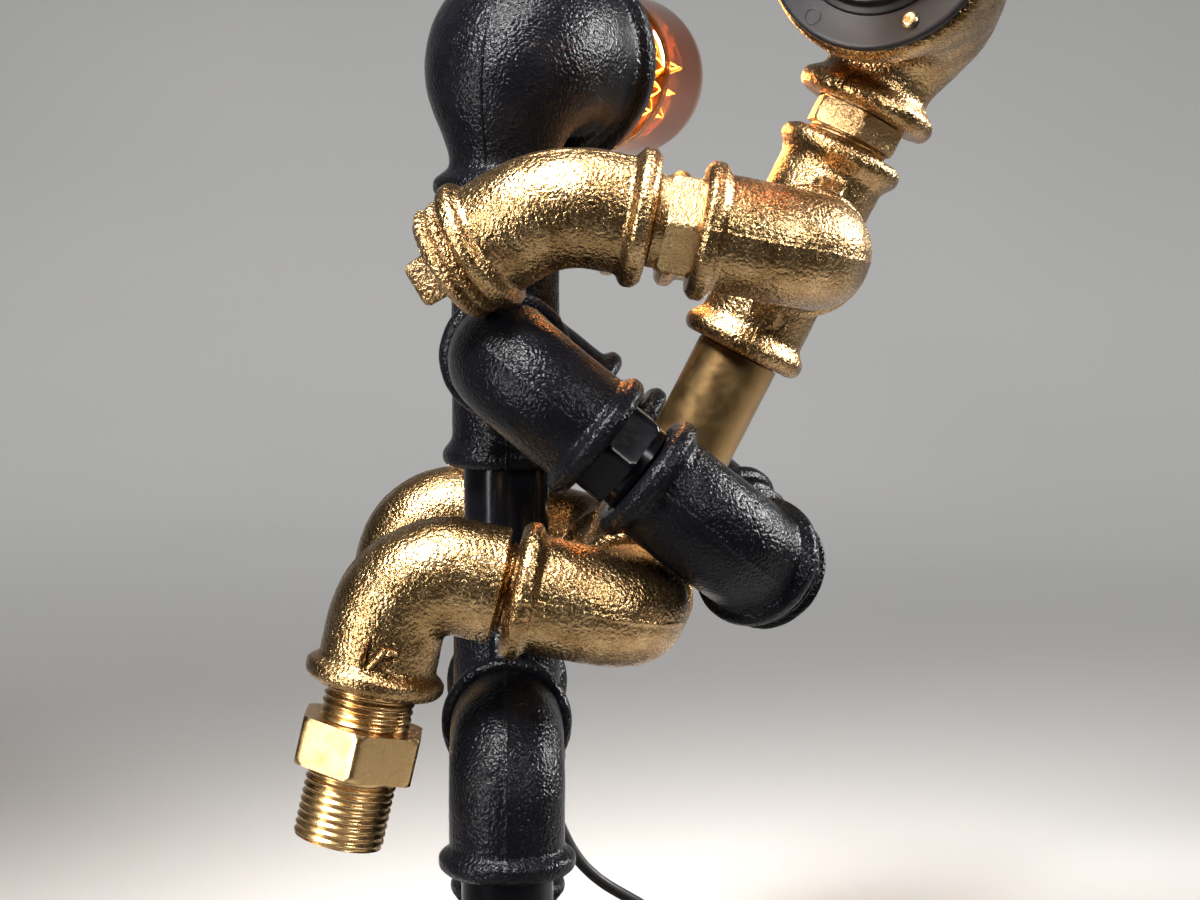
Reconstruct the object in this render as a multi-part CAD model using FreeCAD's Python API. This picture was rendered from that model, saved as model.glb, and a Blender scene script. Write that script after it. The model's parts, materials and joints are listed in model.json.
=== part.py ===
"""Table lamp made of half-inch threaded pipe fittings: two pipe figures that embrace.

The dark figure stands upright and the light figure leans back from it, with its legs round the
dark figure's hips and its arms round the dark figure's neck. Each head is a reducing elbow with an
E27 lamp holder and bulb. Millimetres; +X is the way the standing figure faces, +Y its left-hand
side, +Z up. The lamp is laid out from a point on the table midway between the standing figure's
legs, then moved so that the origin is under the middle of the whole lamp.
"""
import FreeCAD, Part
import math
import os

Vector = FreeCAD.Vector

# ---- half-inch pipe and thread ----
PIPE_R = 10.65            # outside of the pipe
PIPE_BORE_R = 8.1         # inside of the pipe
THREAD_R = 10.45          # crest of a male thread
THREAD_CLEARANCE = 0.3    # between a male thread and its socket
TURNING_CLEARANCE = 0.3   # between faces that turn against each other
THREAD_LENGTH = 15.0      # threaded length of a nipple or a male end
ENGAGEMENT = 12.5         # length of thread screwed into a socket
DARK_ENGAGEMENT = 13.5    # the dark figure's elbows are screwed further in
LIGHT_ENGAGEMENT = 10.0   # the light figure's elbows are screwed in less
SOCKET_DEPTH = 14.0       # depth of a threaded socket
WATERWAY_R = 8.6          # bore behind the sockets

# ---- half-inch fittings ----
BODY_R = 13.5             # outside of a fitting's body
BEAD_R = 16.0             # outside of the bead round each mouth
BEAD_WIDTH = 5.4
BEAD_CHAMFER = 1.5
FACE = 29.0               # centre to face of elbows, tees and crosses
FACE_45 = 22.5            # centre to face of a 45 degree elbow
MALE_REACH = 38.5         # centre to the male end of a street elbow
THROAT_R = 1.5            # inside corner of a right-angle bend
BEND_R = BODY_R + THROAT_R  # centreline radius of a right-angle bend
BEND_R_45 = 26.0          # centreline radius of a 45 degree bend
WEB_THICKNESS = 7.0       # cast web between neighbouring mouths
WEB_REACH = 19.5

# ---- nipples, plugs and caps ----
HEX_ACROSS = 22.0         # short nipples' hexagon across its flats
HEX_WIDTH = 7.5           # hexagon of the short nipples in arms and feet
NECK_LENGTH = 3.0         # plain ring beyond the short nipple's hexagon
NECK_HEX_WIDTH = 6.5      # hexagon of the nipples under the heads
NECK_RING = 2.0           # thread left bare between a neck's hexagon and its cross
FOOT_HEX_ACROSS = 24.0
FOOT_HEX_WIDTH = 11.0     # hexagon of the long nipple that ends each light leg
FOOT_THREAD = 17.0        # thread each side of that hexagon
FOOT_ENGAGEMENT = 8.5     # how far that nipple is screwed in
PLUG_COLLAR_R = 14.3
PLUG_COLLAR_WIDTH = 4.5
PLUG_HEAD = 11.5          # side of the plug's square head
PLUG_HEAD_LENGTH = 10.0
CAP_LENGTH = 19.0         # round cap that ends each dark foot
CAP_WALL = 4.0

# ---- reducing elbow that makes a head ----
HEAD_BODY_R = 14.8        # body at the small end
HEAD_BEAD_R = 18.0
HEAD_BEAD_WIDTH = 6.0
HEAD_NECK = 35.5          # centre to the small face
HEAD_BULGE_R = 26.0       # body at the mouth
HEAD_BEND_R = 22.0
MOUTH_FACE = 36.0         # centre to the mouth's face
MOUTH_BEAD_R = 29.0
MOUTH_BEAD_WIDTH = 7.5
MOUTH_BORE_R = 20.6
MOUTH_BORE_DEPTH = 23.0
HEAD_SWELL = 0.9          # how late in the bend the body swells
HEAD_SECTIONS = 5

# ---- lamp holder ----
FLANGE_R = 28.0
FLANGE_WIDTH = 2.6
BARREL_R = 20.3
BARREL_LENGTH = 21.0      # part of the holder inside the mouth
COLLAR_R = 18.0
COLLAR_LENGTH = 4.6
SHELL_OUTER_R = 14.0
SHELL_WALL = 0.5
HOLDER_FLOOR = 4.0        # thickness of the holder behind the screw shell
CONTACT_R = 3.6
CONTACT_LENGTH = 1.8
HOLDER_SCREW_R = 2.1
HOLDER_SCREW_PITCH_R = 23.2
HOLDER_SCREW_HEAD = 1.2

# ---- bulb, measured from the mouth's face along its axis ----
BULB_CAP_R = 13.1
BULB_CAP_TIP = -14.9      # foot of the cap, just off the centre contact
BULB_CAP_END = 8.0
BULB_NECK_R = 13.6
BULB_R = 23.0
BULB_SHOULDER = 33.0      # where the glass reaches its full radius
BULB_LENGTH = 85.0        # tip of the glass
GLASS_WALL = 0.9
STEM_R = 3.4
STEM_END = 38.0
FILAMENT_R = 0.45
FILAMENT_CAGE_R = 9.0
FILAMENT_CAGE_LENGTH = 36.0
FILAMENT_STRANDS = 8

# ---- how the figures stand ----
PAD_THICKNESS = 2.0       # rubber under the feet
PAD_R = 5.0
PAD_HEIGHT = 3.6
LEG_EXPOSED = 31.0        # bare pipe between the dark thigh and foot elbows
DARK_TORSO_EXPOSED = 31.0
DARK_ARM_DROP = 39.0      # dark arms below level, in degrees
DARK_HEAD_YAW = 20.0      # dark head, turned from straight away towards +X
LIGHT_X = 71.6            # light shoulder cross, from the dark torso's axis
LIGHT_RISE = 25.0         # light shoulder cross above the dark one
LIGHT_LEAN = 27.0         # light torso from upright
LIGHT_TORSO_EXPOSED = 35.0
LIGHT_ARM_RISE = 11.0     # light upper arms above level
LIGHT_HAND_TWIST = 20.0   # light hands, turned inwards from straight down
LIGHT_THIGH_RISE = 13.0   # light thighs above level
LIGHT_HEAD_YAW = 60.0     # light head, turned from its own forward towards -Y

# ---- mains lead ----
CORD_R = 1.8
LEAD_R = 2.2              # sheathed pair inside the pipes
LEAD_HOLE_R = 2.8
LEAD_BEND_R = 7.0
TWIST_GAP = 0.5           # between the two lengths of lead at a neck
GLAND_R = 5.2
GLAND_NECK_R = 3.4
GLAND_FLANGE = 2.4
GLAND_TIP_R = 2.9
GLAND_LENGTH = 17.0       # leg's axis to the gland's tip
GLAND_HEIGHT = 23.0       # above the dark foot tee's top face
GLAND_YAW = 70.0          # from +X towards +Y
CORD_BEND = 0.45          # part of a run that a cord's bend may take

# ---- switch on the lead, along X ----
SWITCH_CENTRE = (71.0, 122.0)
SWITCH_LENGTH = 58.0
SWITCH_WIDTH = 25.0
SWITCH_HEIGHT = 15.0
SWITCH_CORNER = 8.0
SWITCH_EDGE = 2.0
SWITCH_NOZZLE_R = 3.8
SWITCH_NOZZLE = 7.0
SWITCH_AXIS = 7.0         # cord's height in the nozzles
ROCKER_LENGTH = 19.0
ROCKER_WIDTH = 10.0
ROCKER_HEIGHT = 6.0
ROCKER_PIVOT = 11.5       # pivot's height
ROCKER_PIN_R = 1.3
ROCKER_PIN = 2.0          # pin's length each side
ROCKER_GAP = 0.8          # round the rocker in its opening
SWITCH_WELL = 6.5         # opening's depth below the top
CONTACT_POST = 1.2        # brass posts in the well

# ---- coil of spare lead, and the plug ----
COIL_CENTRE = (-17.0, 116.0)
COIL_R = 21.95            # middle of the winding
COIL_WIDTH = 19.5
COIL_HEIGHT = 7.3
COIL_CHAMFER = 1.4
PLUG_CORD_END = (-57.0, 131.0)
PLUG_HEADING = 200.0      # from +X towards +Y
PLUG_LENGTH = 36.0
PLUG_WIDTH = 35.0
PLUG_HEIGHT = 14.0
PLUG_NECK = 10.0
PIN_R = 2.0
PIN_LENGTH = 19.0
PIN_SPACING = 18.6

RIGHT_ANGLE = 90.0
TURN = 360.0
X_AXIS = Vector(1, 0, 0)
Y_AXIS = Vector(0, 1, 0)
Z_AXIS = Vector(0, 0, 1)
ORIGIN = Vector(0, 0, 0)
LYING_NODES = ("mains_", "cord_coil", "switch_")   # what lies on the table beside the lamp


def leaning(angle):
    """Unit vector in the XZ plane, turned from +X towards +Z by the angle in degrees."""
    return Vector(math.cos(math.radians(angle)), 0, math.sin(math.radians(angle)))


def placed(shape, origin, along, toward):
    """Copy of a shape whose local +Z lies along one direction and +X in the plane of the other."""
    z_dir = Vector(along).normalize()
    y_dir = z_dir.cross(Vector(toward)).normalize()
    x_dir = y_dir.cross(z_dir)
    rotation = FreeCAD.Rotation(x_dir, y_dir, z_dir, "ZXY")
    copy = shape.copy()
    copy.Placement = FreeCAD.Placement(origin, rotation).multiply(copy.Placement)
    return copy


def turned(outline):
    """Solid made by turning a closed outline of (radius, height) points about local Z."""
    corners = [Vector(radius, 0, height) for radius, height in outline]
    face = Part.Face(Part.makePolygon(corners + corners[:1]))
    return face.revolve(ORIGIN, Z_AXIS, TURN)


def rod(radius, start, end):
    """Plain cylinder on local Z from one height to another."""
    return Part.makeCylinder(radius, end - start, Vector(0, 0, start))


def tube(outer, inner, start, end):
    """Plain pipe on local Z."""
    return rod(outer, start, end).cut(rod(inner, start, end))


def hexagon(across, start, width):
    """Hexagonal prism on local Z."""
    corner = across / math.sqrt(3)
    points = [Vector(corner * math.cos(math.radians(60 * i)),
                     corner * math.sin(math.radians(60 * i)), start) for i in range(6)]
    return Part.Face(Part.makePolygon(points + points[:1])).extrude(Vector(0, 0, width))


def joined(shapes):
    """One solid from overlapping or touching solids."""
    return shapes[0].multiFuse(shapes[1:]).removeSplitter()


def paired(maker):
    """Compound of the same piece on the front side (-Y) and on the rear side (+Y)."""
    return Part.makeCompound([maker(side) for side in (-1, 1)])


def along_x(shape):
    """Copy of a shape with its local Z turned onto +X."""
    return placed(shape, ORIGIN, X_AXIS, Z_AXIS)


# ---- parts of a fitting ----

def mouth(start, face, body_r=BODY_R, bead_r=BEAD_R, bead_width=BEAD_WIDTH):
    """Outside of a female end: plain body, then the bead up to its face."""
    return turned([(0, start), (body_r, start), (body_r, face - bead_width - BEAD_CHAMFER),
                   (bead_r, face - bead_width + BEAD_CHAMFER), (bead_r, face - BEAD_CHAMFER),
                   (bead_r - BEAD_CHAMFER, face), (0, face)])


def socket(start, face):
    """Inside of a female end: the threaded socket, and the waterway where one is left behind it."""
    floor = face - SOCKET_DEPTH
    threads = rod(THREAD_R + THREAD_CLEARANCE, floor, face)
    if floor <= start:
        return threads
    return joined([threads, rod(WATERWAY_R, start, floor)])


def male_end(start):
    """Outside of a male end: plain body, then the thread."""
    shoulder = MALE_REACH - THREAD_LENGTH
    return turned([(0, start), (BODY_R, start), (BODY_R, shoulder), (THREAD_R, shoulder),
                   (THREAD_R, MALE_REACH), (0, MALE_REACH)])


def bend(radius, centreline_r, turn):
    """Round bar bent from local +Z, where it is cut square, by the turn towards +X."""
    start = centreline_r * math.tan(math.radians(turn / 2))
    circle = Part.makeCircle(radius, Vector(0, 0, start), Z_AXIS)
    section = Part.Face(Part.Wire(circle))
    return section.revolve(Vector(centreline_r, 0, start), -Y_AXIS, turn)


def second_end(shape, turn):
    """Copy of a shape on local +Z, moved onto the other leg of a bend of that turn."""
    angle = math.radians(turn)
    return placed(shape, ORIGIN, Vector(math.sin(angle), 0, -math.cos(angle)), Y_AXIS)


def elbow(turn=RIGHT_ANGLE, face=FACE, centreline_r=BEND_R):
    """Elbow with two female ends: one on +Z, the other turned towards +X."""
    start = centreline_r * math.tan(math.radians(turn / 2))
    end = mouth(start, face)
    hollow = socket(start, face)
    outside = joined([end, bend(BODY_R, centreline_r, turn), second_end(end, turn)])
    inside = joined([hollow, bend(WATERWAY_R, centreline_r, turn), second_end(hollow, turn)])
    return outside.cut(inside)


def street_elbow():
    """Right-angle elbow with its male end on +Z and its female end on +X."""
    outside = joined([male_end(BEND_R), bend(BODY_R, BEND_R, RIGHT_ANGLE),
                      second_end(mouth(BEND_R, FACE), RIGHT_ANGLE)])
    inside = joined([rod(WATERWAY_R, BEND_R, MALE_REACH), bend(WATERWAY_R, BEND_R, RIGHT_ANGLE),
                     second_end(socket(BEND_R, FACE), RIGHT_ANGLE)])
    return outside.cut(inside)


def web(corners):
    """Cast web in the plane of the local X and Z axes."""
    points = [Vector(x, -WEB_THICKNESS / 2, z) for x, z in corners]
    face = Part.Face(Part.makePolygon(points + points[:1]))
    return face.extrude(Vector(0, WEB_THICKNESS, 0))


def both_ways(outline_maker):
    """Run through the centre made of one end and its copy on local -Z."""
    end = outline_maker(0, FACE)
    return [end, placed(end, ORIGIN, -Z_AXIS, X_AXIS)]


def cross():
    """Cross with female ends on local +Z, -Z, +X and -X."""
    reach, step = WEB_REACH, BODY_R
    corners = [(reach, -step), (reach, step), (step, reach), (-step, reach),
               (-reach, step), (-reach, -step), (-step, -reach), (step, -reach)]
    runs = both_ways(mouth)
    bores = both_ways(socket)
    outside = joined(runs + [along_x(end) for end in runs] + [web(corners)])
    inside = joined(bores + [along_x(bore) for bore in bores])
    return outside.cut(inside)


def tee():
    """Tee with its run on local X and its branch on +Z."""
    reach, step = WEB_REACH, BODY_R
    corners = [(reach, 0), (reach, step), (step, reach), (-step, reach), (-reach, step), (-reach, 0)]
    outside = joined([mouth(0, FACE)] + [along_x(end) for end in both_ways(mouth)] + [web(corners)])
    inside = joined([socket(0, FACE)] + [along_x(bore) for bore in both_ways(socket)])
    return outside.cut(inside)


def pipe_nipple(exposed):
    """Straight pipe with both ends threaded; local Z starts at the first socket's face."""
    low, high = -ENGAGEMENT, exposed + ENGAGEMENT
    outside = turned([(0, low), (THREAD_R, low), (THREAD_R, 0), (PIPE_R, 0),
                      (PIPE_R, exposed), (THREAD_R, exposed), (THREAD_R, high), (0, high)])
    return outside.cut(rod(PIPE_BORE_R, low, high))


def short_nipple_gap():
    """Distance that a short hexagon nipple holds two faces apart."""
    return HEX_WIDTH + NECK_LENGTH


def short_nipple():
    """Hexagon nipple; local Z starts at the first socket's face."""
    low, high = -ENGAGEMENT, short_nipple_gap() + ENGAGEMENT
    outside = joined([rod(THREAD_R, low, high), hexagon(HEX_ACROSS, 0, HEX_WIDTH)])
    return outside.cut(rod(PIPE_BORE_R, low, high))


def neck_gap():
    """Distance that a neck's nipple holds cross and head apart, without the head's clearance."""
    return NECK_RING + NECK_HEX_WIDTH


def neck_nipple():
    """Hexagon nipple under a head; local Z starts at the cross's face."""
    outside = joined([rod(THREAD_R, -ENGAGEMENT, neck_gap() + ENGAGEMENT),
                      hexagon(HEX_ACROSS, NECK_RING, NECK_HEX_WIDTH)])
    return outside.cut(rod(PIPE_BORE_R, -ENGAGEMENT, neck_gap() + ENGAGEMENT))


def foot_nipple():
    """Long hexagon nipple; local Z starts at the face of the socket that holds it."""
    hex_start = FOOT_THREAD - FOOT_ENGAGEMENT
    low, high = -FOOT_ENGAGEMENT, hex_start + FOOT_HEX_WIDTH + FOOT_THREAD
    outside = joined([rod(THREAD_R, low, high), hexagon(FOOT_HEX_ACROSS, hex_start, FOOT_HEX_WIDTH)])
    return outside.cut(rod(PIPE_BORE_R, low, high))


def plug():
    """Collared plug with a square head; local Z starts at the socket's face."""
    half = PLUG_HEAD / 2
    head = Part.makeBox(PLUG_HEAD, PLUG_HEAD, PLUG_HEAD_LENGTH,
                        Vector(-half, -half, PLUG_COLLAR_WIDTH))
    collar = turned([(0, 0), (PLUG_COLLAR_R, 0), (PLUG_COLLAR_R, PLUG_COLLAR_WIDTH - BEAD_CHAMFER),
                     (PLUG_COLLAR_R - BEAD_CHAMFER, PLUG_COLLAR_WIDTH), (0, PLUG_COLLAR_WIDTH)])
    return joined([rod(THREAD_R, -ENGAGEMENT, 0), collar, head])


def cap():
    """Round cap with its mouth at local Z 0 and its closed end at +Z."""
    thread_r = THREAD_R + THREAD_CLEARANCE
    outside = turned([(0, 0), (BEAD_R, 0), (BEAD_R, CAP_LENGTH - CAP_WALL),
                      (BEAD_R - CAP_WALL, CAP_LENGTH), (0, CAP_LENGTH)])
    return outside.cut(rod(thread_r, 0, CAP_LENGTH - CAP_WALL))


# ---- heads ----

def head_section(angle, radius, beyond=0):
    """Circle across the head's bend at an angle from the neck, or beyond its last one."""
    circle = Part.Wire(Part.makeCircle(radius, Vector(0, 0, HEAD_BEND_R), Z_AXIS))
    circle.rotate(Vector(HEAD_BEND_R, 0, HEAD_BEND_R), -Y_AXIS, angle)
    circle.translate(X_AXIS * beyond)
    return circle


def head_body():
    """Body of the head, swelling from the neck round to the mouth."""
    neck = Part.Wire(Part.makeCircle(HEAD_BODY_R, Vector(0, 0, HEAD_NECK - BEAD_CHAMFER), Z_AXIS))
    sections = [neck]
    for i in range(HEAD_SECTIONS):
        angle = RIGHT_ANGLE * i / (HEAD_SECTIONS - 1)
        swell = math.sin(math.radians(angle)) ** HEAD_SWELL
        sections.append(head_section(angle, HEAD_BODY_R + (HEAD_BULGE_R - HEAD_BODY_R) * swell))
    sections.append(head_section(RIGHT_ANGLE, HEAD_BULGE_R, MOUTH_FACE - HEAD_BEND_R - BEAD_CHAMFER))
    return Part.makeLoft(sections, True)


def head_elbow():
    """Reducing elbow: small end on +Z towards the neck, wide mouth on +X."""
    sunk = 1.0
    neck = mouth(HEAD_NECK - 2 * HEAD_BEAD_WIDTH, HEAD_NECK, HEAD_BODY_R - sunk, HEAD_BEAD_R,
                 HEAD_BEAD_WIDTH)
    wide = mouth(MOUTH_FACE - 2 * MOUTH_BEAD_WIDTH, MOUTH_FACE, HEAD_BULGE_R - sunk, MOUTH_BEAD_R,
                 MOUTH_BEAD_WIDTH)
    outside = joined([head_body(), neck, along_x(wide)])
    cavity_floor = MOUTH_FACE - MOUTH_BORE_DEPTH
    cavity = turned([(0, 0), (WATERWAY_R + sunk, 0), (MOUTH_BORE_R, cavity_floor),
                     (MOUTH_BORE_R, MOUTH_FACE), (0, MOUTH_FACE)])
    thread_r = THREAD_R + TURNING_CLEARANCE
    throat = joined([rod(WATERWAY_R, 0, HEAD_NECK - SOCKET_DEPTH),
                     rod(thread_r, HEAD_NECK - SOCKET_DEPTH, HEAD_NECK)])
    return outside.cut(joined([along_x(cavity), throat]))


def holder_floor():
    """Height of the holder's floor, behind the screw shell."""
    return HOLDER_FLOOR - BARREL_LENGTH


def holder_body():
    """Moulded E27 holder; local Z 0 is the mouth's face and +Z points out of it."""
    front = FLANGE_WIDTH + COLLAR_LENGTH
    floor = holder_floor()
    return turned([(LEAD_HOLE_R, -BARREL_LENGTH), (BARREL_R, -BARREL_LENGTH), (BARREL_R, 0),
                   (FLANGE_R - BEAD_CHAMFER, 0), (FLANGE_R, BEAD_CHAMFER), (FLANGE_R, FLANGE_WIDTH),
                   (COLLAR_R, FLANGE_WIDTH), (COLLAR_R, front), (SHELL_OUTER_R, front),
                   (SHELL_OUTER_R, floor), (LEAD_HOLE_R, floor)])


def holder_contacts():
    """Screw shell and centre contact."""
    floor = holder_floor()
    shell = tube(SHELL_OUTER_R, SHELL_OUTER_R - SHELL_WALL, floor, FLANGE_WIDTH)
    return Part.makeCompound([shell, rod(CONTACT_R, floor, floor + CONTACT_LENGTH)])


def holder_screws():
    """Two screw heads on the holder's flange."""
    heads = []
    for side in (1, -1):
        head = rod(HOLDER_SCREW_R, FLANGE_WIDTH, FLANGE_WIDTH + HOLDER_SCREW_HEAD)
        head.translate(Vector(0, side * HOLDER_SCREW_PITCH_R, 0))
        heads.append(head)
    return Part.makeCompound(heads)


def bulb_cap():
    """Screw cap of the bulb with its insulated foot."""
    foot = 3.0
    return turned([(0, BULB_CAP_TIP), (4.5, BULB_CAP_TIP), (9.0, BULB_CAP_TIP + foot),
                   (BULB_CAP_R, BULB_CAP_TIP + foot + 1.5), (BULB_CAP_R, BULB_CAP_END),
                   (0, BULB_CAP_END)])


def glass_outline(offset):
    """Outline of the glass from its neck to its tip, moved inwards by the offset."""
    neck_r, full_r = BULB_NECK_R - offset, BULB_R - offset
    tip = BULB_LENGTH - offset
    centre = BULB_LENGTH - BULB_R
    middle = (BULB_CAP_END + BULB_SHOULDER) / 2
    points = [(neck_r, BULB_CAP_END + offset), (neck_r + 1.6, middle - 4.0),
              (full_r - 1.8, middle + 5.0), (full_r, BULB_SHOULDER), (full_r, centre)]
    for step in range(1, 4):
        angle = math.radians(RIGHT_ANGLE * step / 4)
        points.append((full_r * math.cos(angle), centre + (tip - centre) * math.sin(angle)))
    return points + [(0, tip)]


def bulb_glass():
    """Blown glass envelope, closed at the neck by its own floor."""
    outer = turned([(0, BULB_CAP_END)] + glass_outline(0))
    inner = turned([(0, BULB_CAP_END + GLASS_WALL)] + glass_outline(GLASS_WALL))
    return outer.cut(inner)


def bulb_filament():
    """Glass stem and the cage of filament strands round it."""
    start = BULB_CAP_END + GLASS_WALL
    stem = rod(STEM_R, start, STEM_END)
    pieces = [stem]
    low, high = STEM_END - 4.0, STEM_END - 4.0 + FILAMENT_CAGE_LENGTH
    for i in range(FILAMENT_STRANDS):
        angle = math.radians(TURN * i / FILAMENT_STRANDS)
        strand = rod(FILAMENT_R, low, high)
        strand.translate(Vector(FILAMENT_CAGE_R * math.cos(angle),
                                FILAMENT_CAGE_R * math.sin(angle), 0))
        pieces.append(strand)
    ring_r = FILAMENT_CAGE_R
    for height in (low, high):
        spoke = Part.makeBox(2 * ring_r, 2 * FILAMENT_R, 2 * FILAMENT_R,
                             Vector(-ring_r, -FILAMENT_R, height - FILAMENT_R))
        for i in range(FILAMENT_STRANDS // 2):
            bar = spoke.copy()
            bar.rotate(ORIGIN, Z_AXIS, TURN * i / FILAMENT_STRANDS)
            pieces.append(bar)
    pieces.append(rod(1.0, STEM_END - 1.0, high + FILAMENT_R))
    return joined(pieces)




# ---- mains lead ----

def corner(before, point, after, share):
    """Turn in degrees and tangent length of the bend at one point of a route."""
    incoming, outgoing = point - before, after - point
    turn = math.degrees(incoming.getAngle(outgoing))
    return turn, share * min(incoming.Length, outgoing.Length)


def round_tube(points, radius, share=CORD_BEND, bend_r=None):
    """Round cord through a route: straight runs, joined by bends that touch both runs."""
    pieces = []
    start = points[0]
    for before, point, after in zip(points, points[1:], points[2:]):
        turn, tangent = corner(before, point, after, share)
        centreline_r = tangent / math.tan(math.radians(turn / 2))
        if bend_r:
            centreline_r = bend_r
            tangent = bend_r * math.tan(math.radians(turn / 2))
        else:
            print("cord bend: turn %.0f degrees, radius %.1f" % (turn, centreline_r))
        incoming = (point - before).normalize()
        outgoing = (after - point).normalize()
        end = point - incoming * tangent
        pieces.append(placed(rod(radius, 0, (end - start).Length), start, incoming, outgoing))
        pieces.append(placed(bend(radius, centreline_r, turn), point, -incoming, outgoing))
        start = point + outgoing * tangent
    last = points[-1] - start
    pieces.append(placed(rod(radius, 0, last.Length), start, last, Vector(last.y, last.z, last.x)))
    return joined(pieces)


def gland_direction():
    """Way the lead leaves the leg."""
    yaw = math.radians(GLAND_YAW)
    return Vector(math.cos(yaw), math.sin(yaw), 0)


def gland():
    """Rubber gland; local Z 0 is the leg's axis and +Z the way out, local X along the leg."""
    flange_end = PIPE_R + GLAND_FLANGE
    neck = rod(GLAND_NECK_R, PIPE_BORE_R, flange_end)
    flange = turned([(0, PIPE_R - GLAND_FLANGE), (GLAND_R, PIPE_R - GLAND_FLANGE),
                     (GLAND_R, flange_end), (GLAND_TIP_R, GLAND_LENGTH), (0, GLAND_LENGTH)])
    leg = along_x(rod(PIPE_R, -FACE, FACE))
    bore = along_x(rod(PIPE_BORE_R, -FACE, FACE))
    hole = rod(LEAD_HOLE_R, 0, flange_end)
    return joined([neck.cut(bore), flange.cut(leg)]).cut(hole)


def rounded_box(length, width, low, high, corner_r, edge_r):
    """Box centred on local Z with round corners and a rounded top edge."""
    box = Part.makeBox(length, width, high - low, Vector(-length / 2, -width / 2, low))
    upright = [e for e in box.Edges if abs(e.BoundBox.ZLength - (high - low)) < 0.01]
    box = box.makeFillet(corner_r, upright)
    top = [e for e in box.Edges if e.BoundBox.ZMin > high - 0.01]
    return box.makeFillet(edge_r, top)


def switch_body():
    """In-line switch: rounded housing with a cord nozzle at each end and a well for its rocker."""
    housing = rounded_box(SWITCH_LENGTH, SWITCH_WIDTH, 0, SWITCH_HEIGHT, SWITCH_CORNER, SWITCH_EDGE)
    reach = SWITCH_LENGTH / 2 + SWITCH_NOZZLE
    nozzles = along_x(rod(SWITCH_NOZZLE_R, -reach, reach))
    nozzles.translate(Vector(0, 0, SWITCH_AXIS))
    length = ROCKER_LENGTH + 2 * ROCKER_GAP
    width = ROCKER_WIDTH + 2 * ROCKER_GAP
    well = Part.makeBox(length, width, SWITCH_WELL,
                        Vector(-length / 2, -width / 2, SWITCH_HEIGHT - SWITCH_WELL))
    pin_reach = ROCKER_WIDTH / 2 + ROCKER_PIN + THREAD_CLEARANCE
    pin_hole = placed(rod(ROCKER_PIN_R + 0.1, -pin_reach, pin_reach),
                      Vector(0, 0, ROCKER_PIVOT), Y_AXIS, X_AXIS)
    return joined([housing, nozzles]).cut(well).cut(pin_hole)


def rocker():
    """Rocker with a dished top and its two pivot pins; local origin on the table under it."""
    half, low, high = ROCKER_LENGTH / 2, ROCKER_PIVOT - 1.4, SWITCH_HEIGHT + 1.6
    left, right = Vector(-half, 0, high), Vector(half, 0, high)
    dish = Part.Arc(left, Vector(0, 0, high - 1.6), right).toShape()
    keel = Part.Arc(Vector(half, 0, low + 1.5), Vector(0, 0, low), Vector(-half, 0, low + 1.5)).toShape()
    ends = [Part.makeLine(right, Vector(half, 0, low + 1.5)),
            Part.makeLine(Vector(-half, 0, low + 1.5), left)]
    face = Part.Face(Part.Wire([dish, ends[0], keel, ends[1]]))
    face.translate(Vector(0, -ROCKER_WIDTH / 2, 0))
    body = face.extrude(Vector(0, ROCKER_WIDTH, 0))
    reach = ROCKER_WIDTH / 2 + ROCKER_PIN
    pin = placed(rod(ROCKER_PIN_R, -reach, reach), Vector(0, 0, ROCKER_PIVOT), Y_AXIS, X_AXIS)
    return joined([body, pin])


def switch_contacts():
    """Two brass posts that the rocker's ends press on."""
    floor = SWITCH_HEIGHT - SWITCH_WELL
    posts = []
    for side in (1, -1):
        post = rod(CONTACT_POST, floor, floor + 1.0)
        post.translate(Vector(side * ROCKER_LENGTH / 3, 0, 0))
        posts.append(post)
    return Part.makeCompound(posts)


def coil():
    """Closed ring round all the turns of the spare lead."""
    low_r, high_r = COIL_R - COIL_WIDTH / 2, COIL_R + COIL_WIDTH / 2
    edge = COIL_CHAMFER
    return turned([(low_r, edge), (low_r + edge, 0), (high_r - edge, 0), (high_r, edge),
                   (high_r, COIL_HEIGHT - edge), (high_r - edge, COIL_HEIGHT),
                   (low_r + edge, COIL_HEIGHT), (low_r, COIL_HEIGHT - edge)])


def plug_body():
    """Flat two-pin plug; local +Z is the way its pins point, local X is up from the table."""
    low, high = -PLUG_HEIGHT / 2, PLUG_HEIGHT / 2
    half, neck = PLUG_WIDTH / 2, PLUG_NECK / 2
    points = [Vector(low, -neck, 0), Vector(low, neck, 0), Vector(low, half, PLUG_LENGTH * 0.55),
              Vector(low, half - 2.0, PLUG_LENGTH), Vector(low, -half + 2.0, PLUG_LENGTH),
              Vector(low, -half, PLUG_LENGTH * 0.55)]
    slab = Part.Face(Part.makePolygon(points + points[:1])).extrude(Vector(high - low, 0, 0))
    return slab.makeFillet(3.0, [e for e in slab.Edges if e.BoundBox.XLength > high - low - 0.01])


def plug_pins():
    """Two round pins of the plug."""
    pins = []
    for side in (1, -1):
        pin = rod(PIN_R, PLUG_LENGTH, PLUG_LENGTH + PIN_LENGTH)
        pin.translate(Vector(0, side * PIN_SPACING / 2, 0))
        pins.append(pin)
    return Part.makeCompound(pins)


# ---- the figures ----

def torso(name, top, bottom, up, exposed):
    """Cross, tee, and the nipples of the torso and the neck."""
    return {
        name + "_shoulder_cross": placed(cross(), top, up, Y_AXIS),
        name + "_hip_tee": placed(tee(), bottom, up, Y_AXIS),
        name + "_torso_nipple": placed(pipe_nipple(exposed), bottom + up * FACE, up, Y_AXIS),
        name + "_neck_nipple": placed(neck_nipple(), top + up * FACE, up, Y_AXIS),
    }


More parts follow.
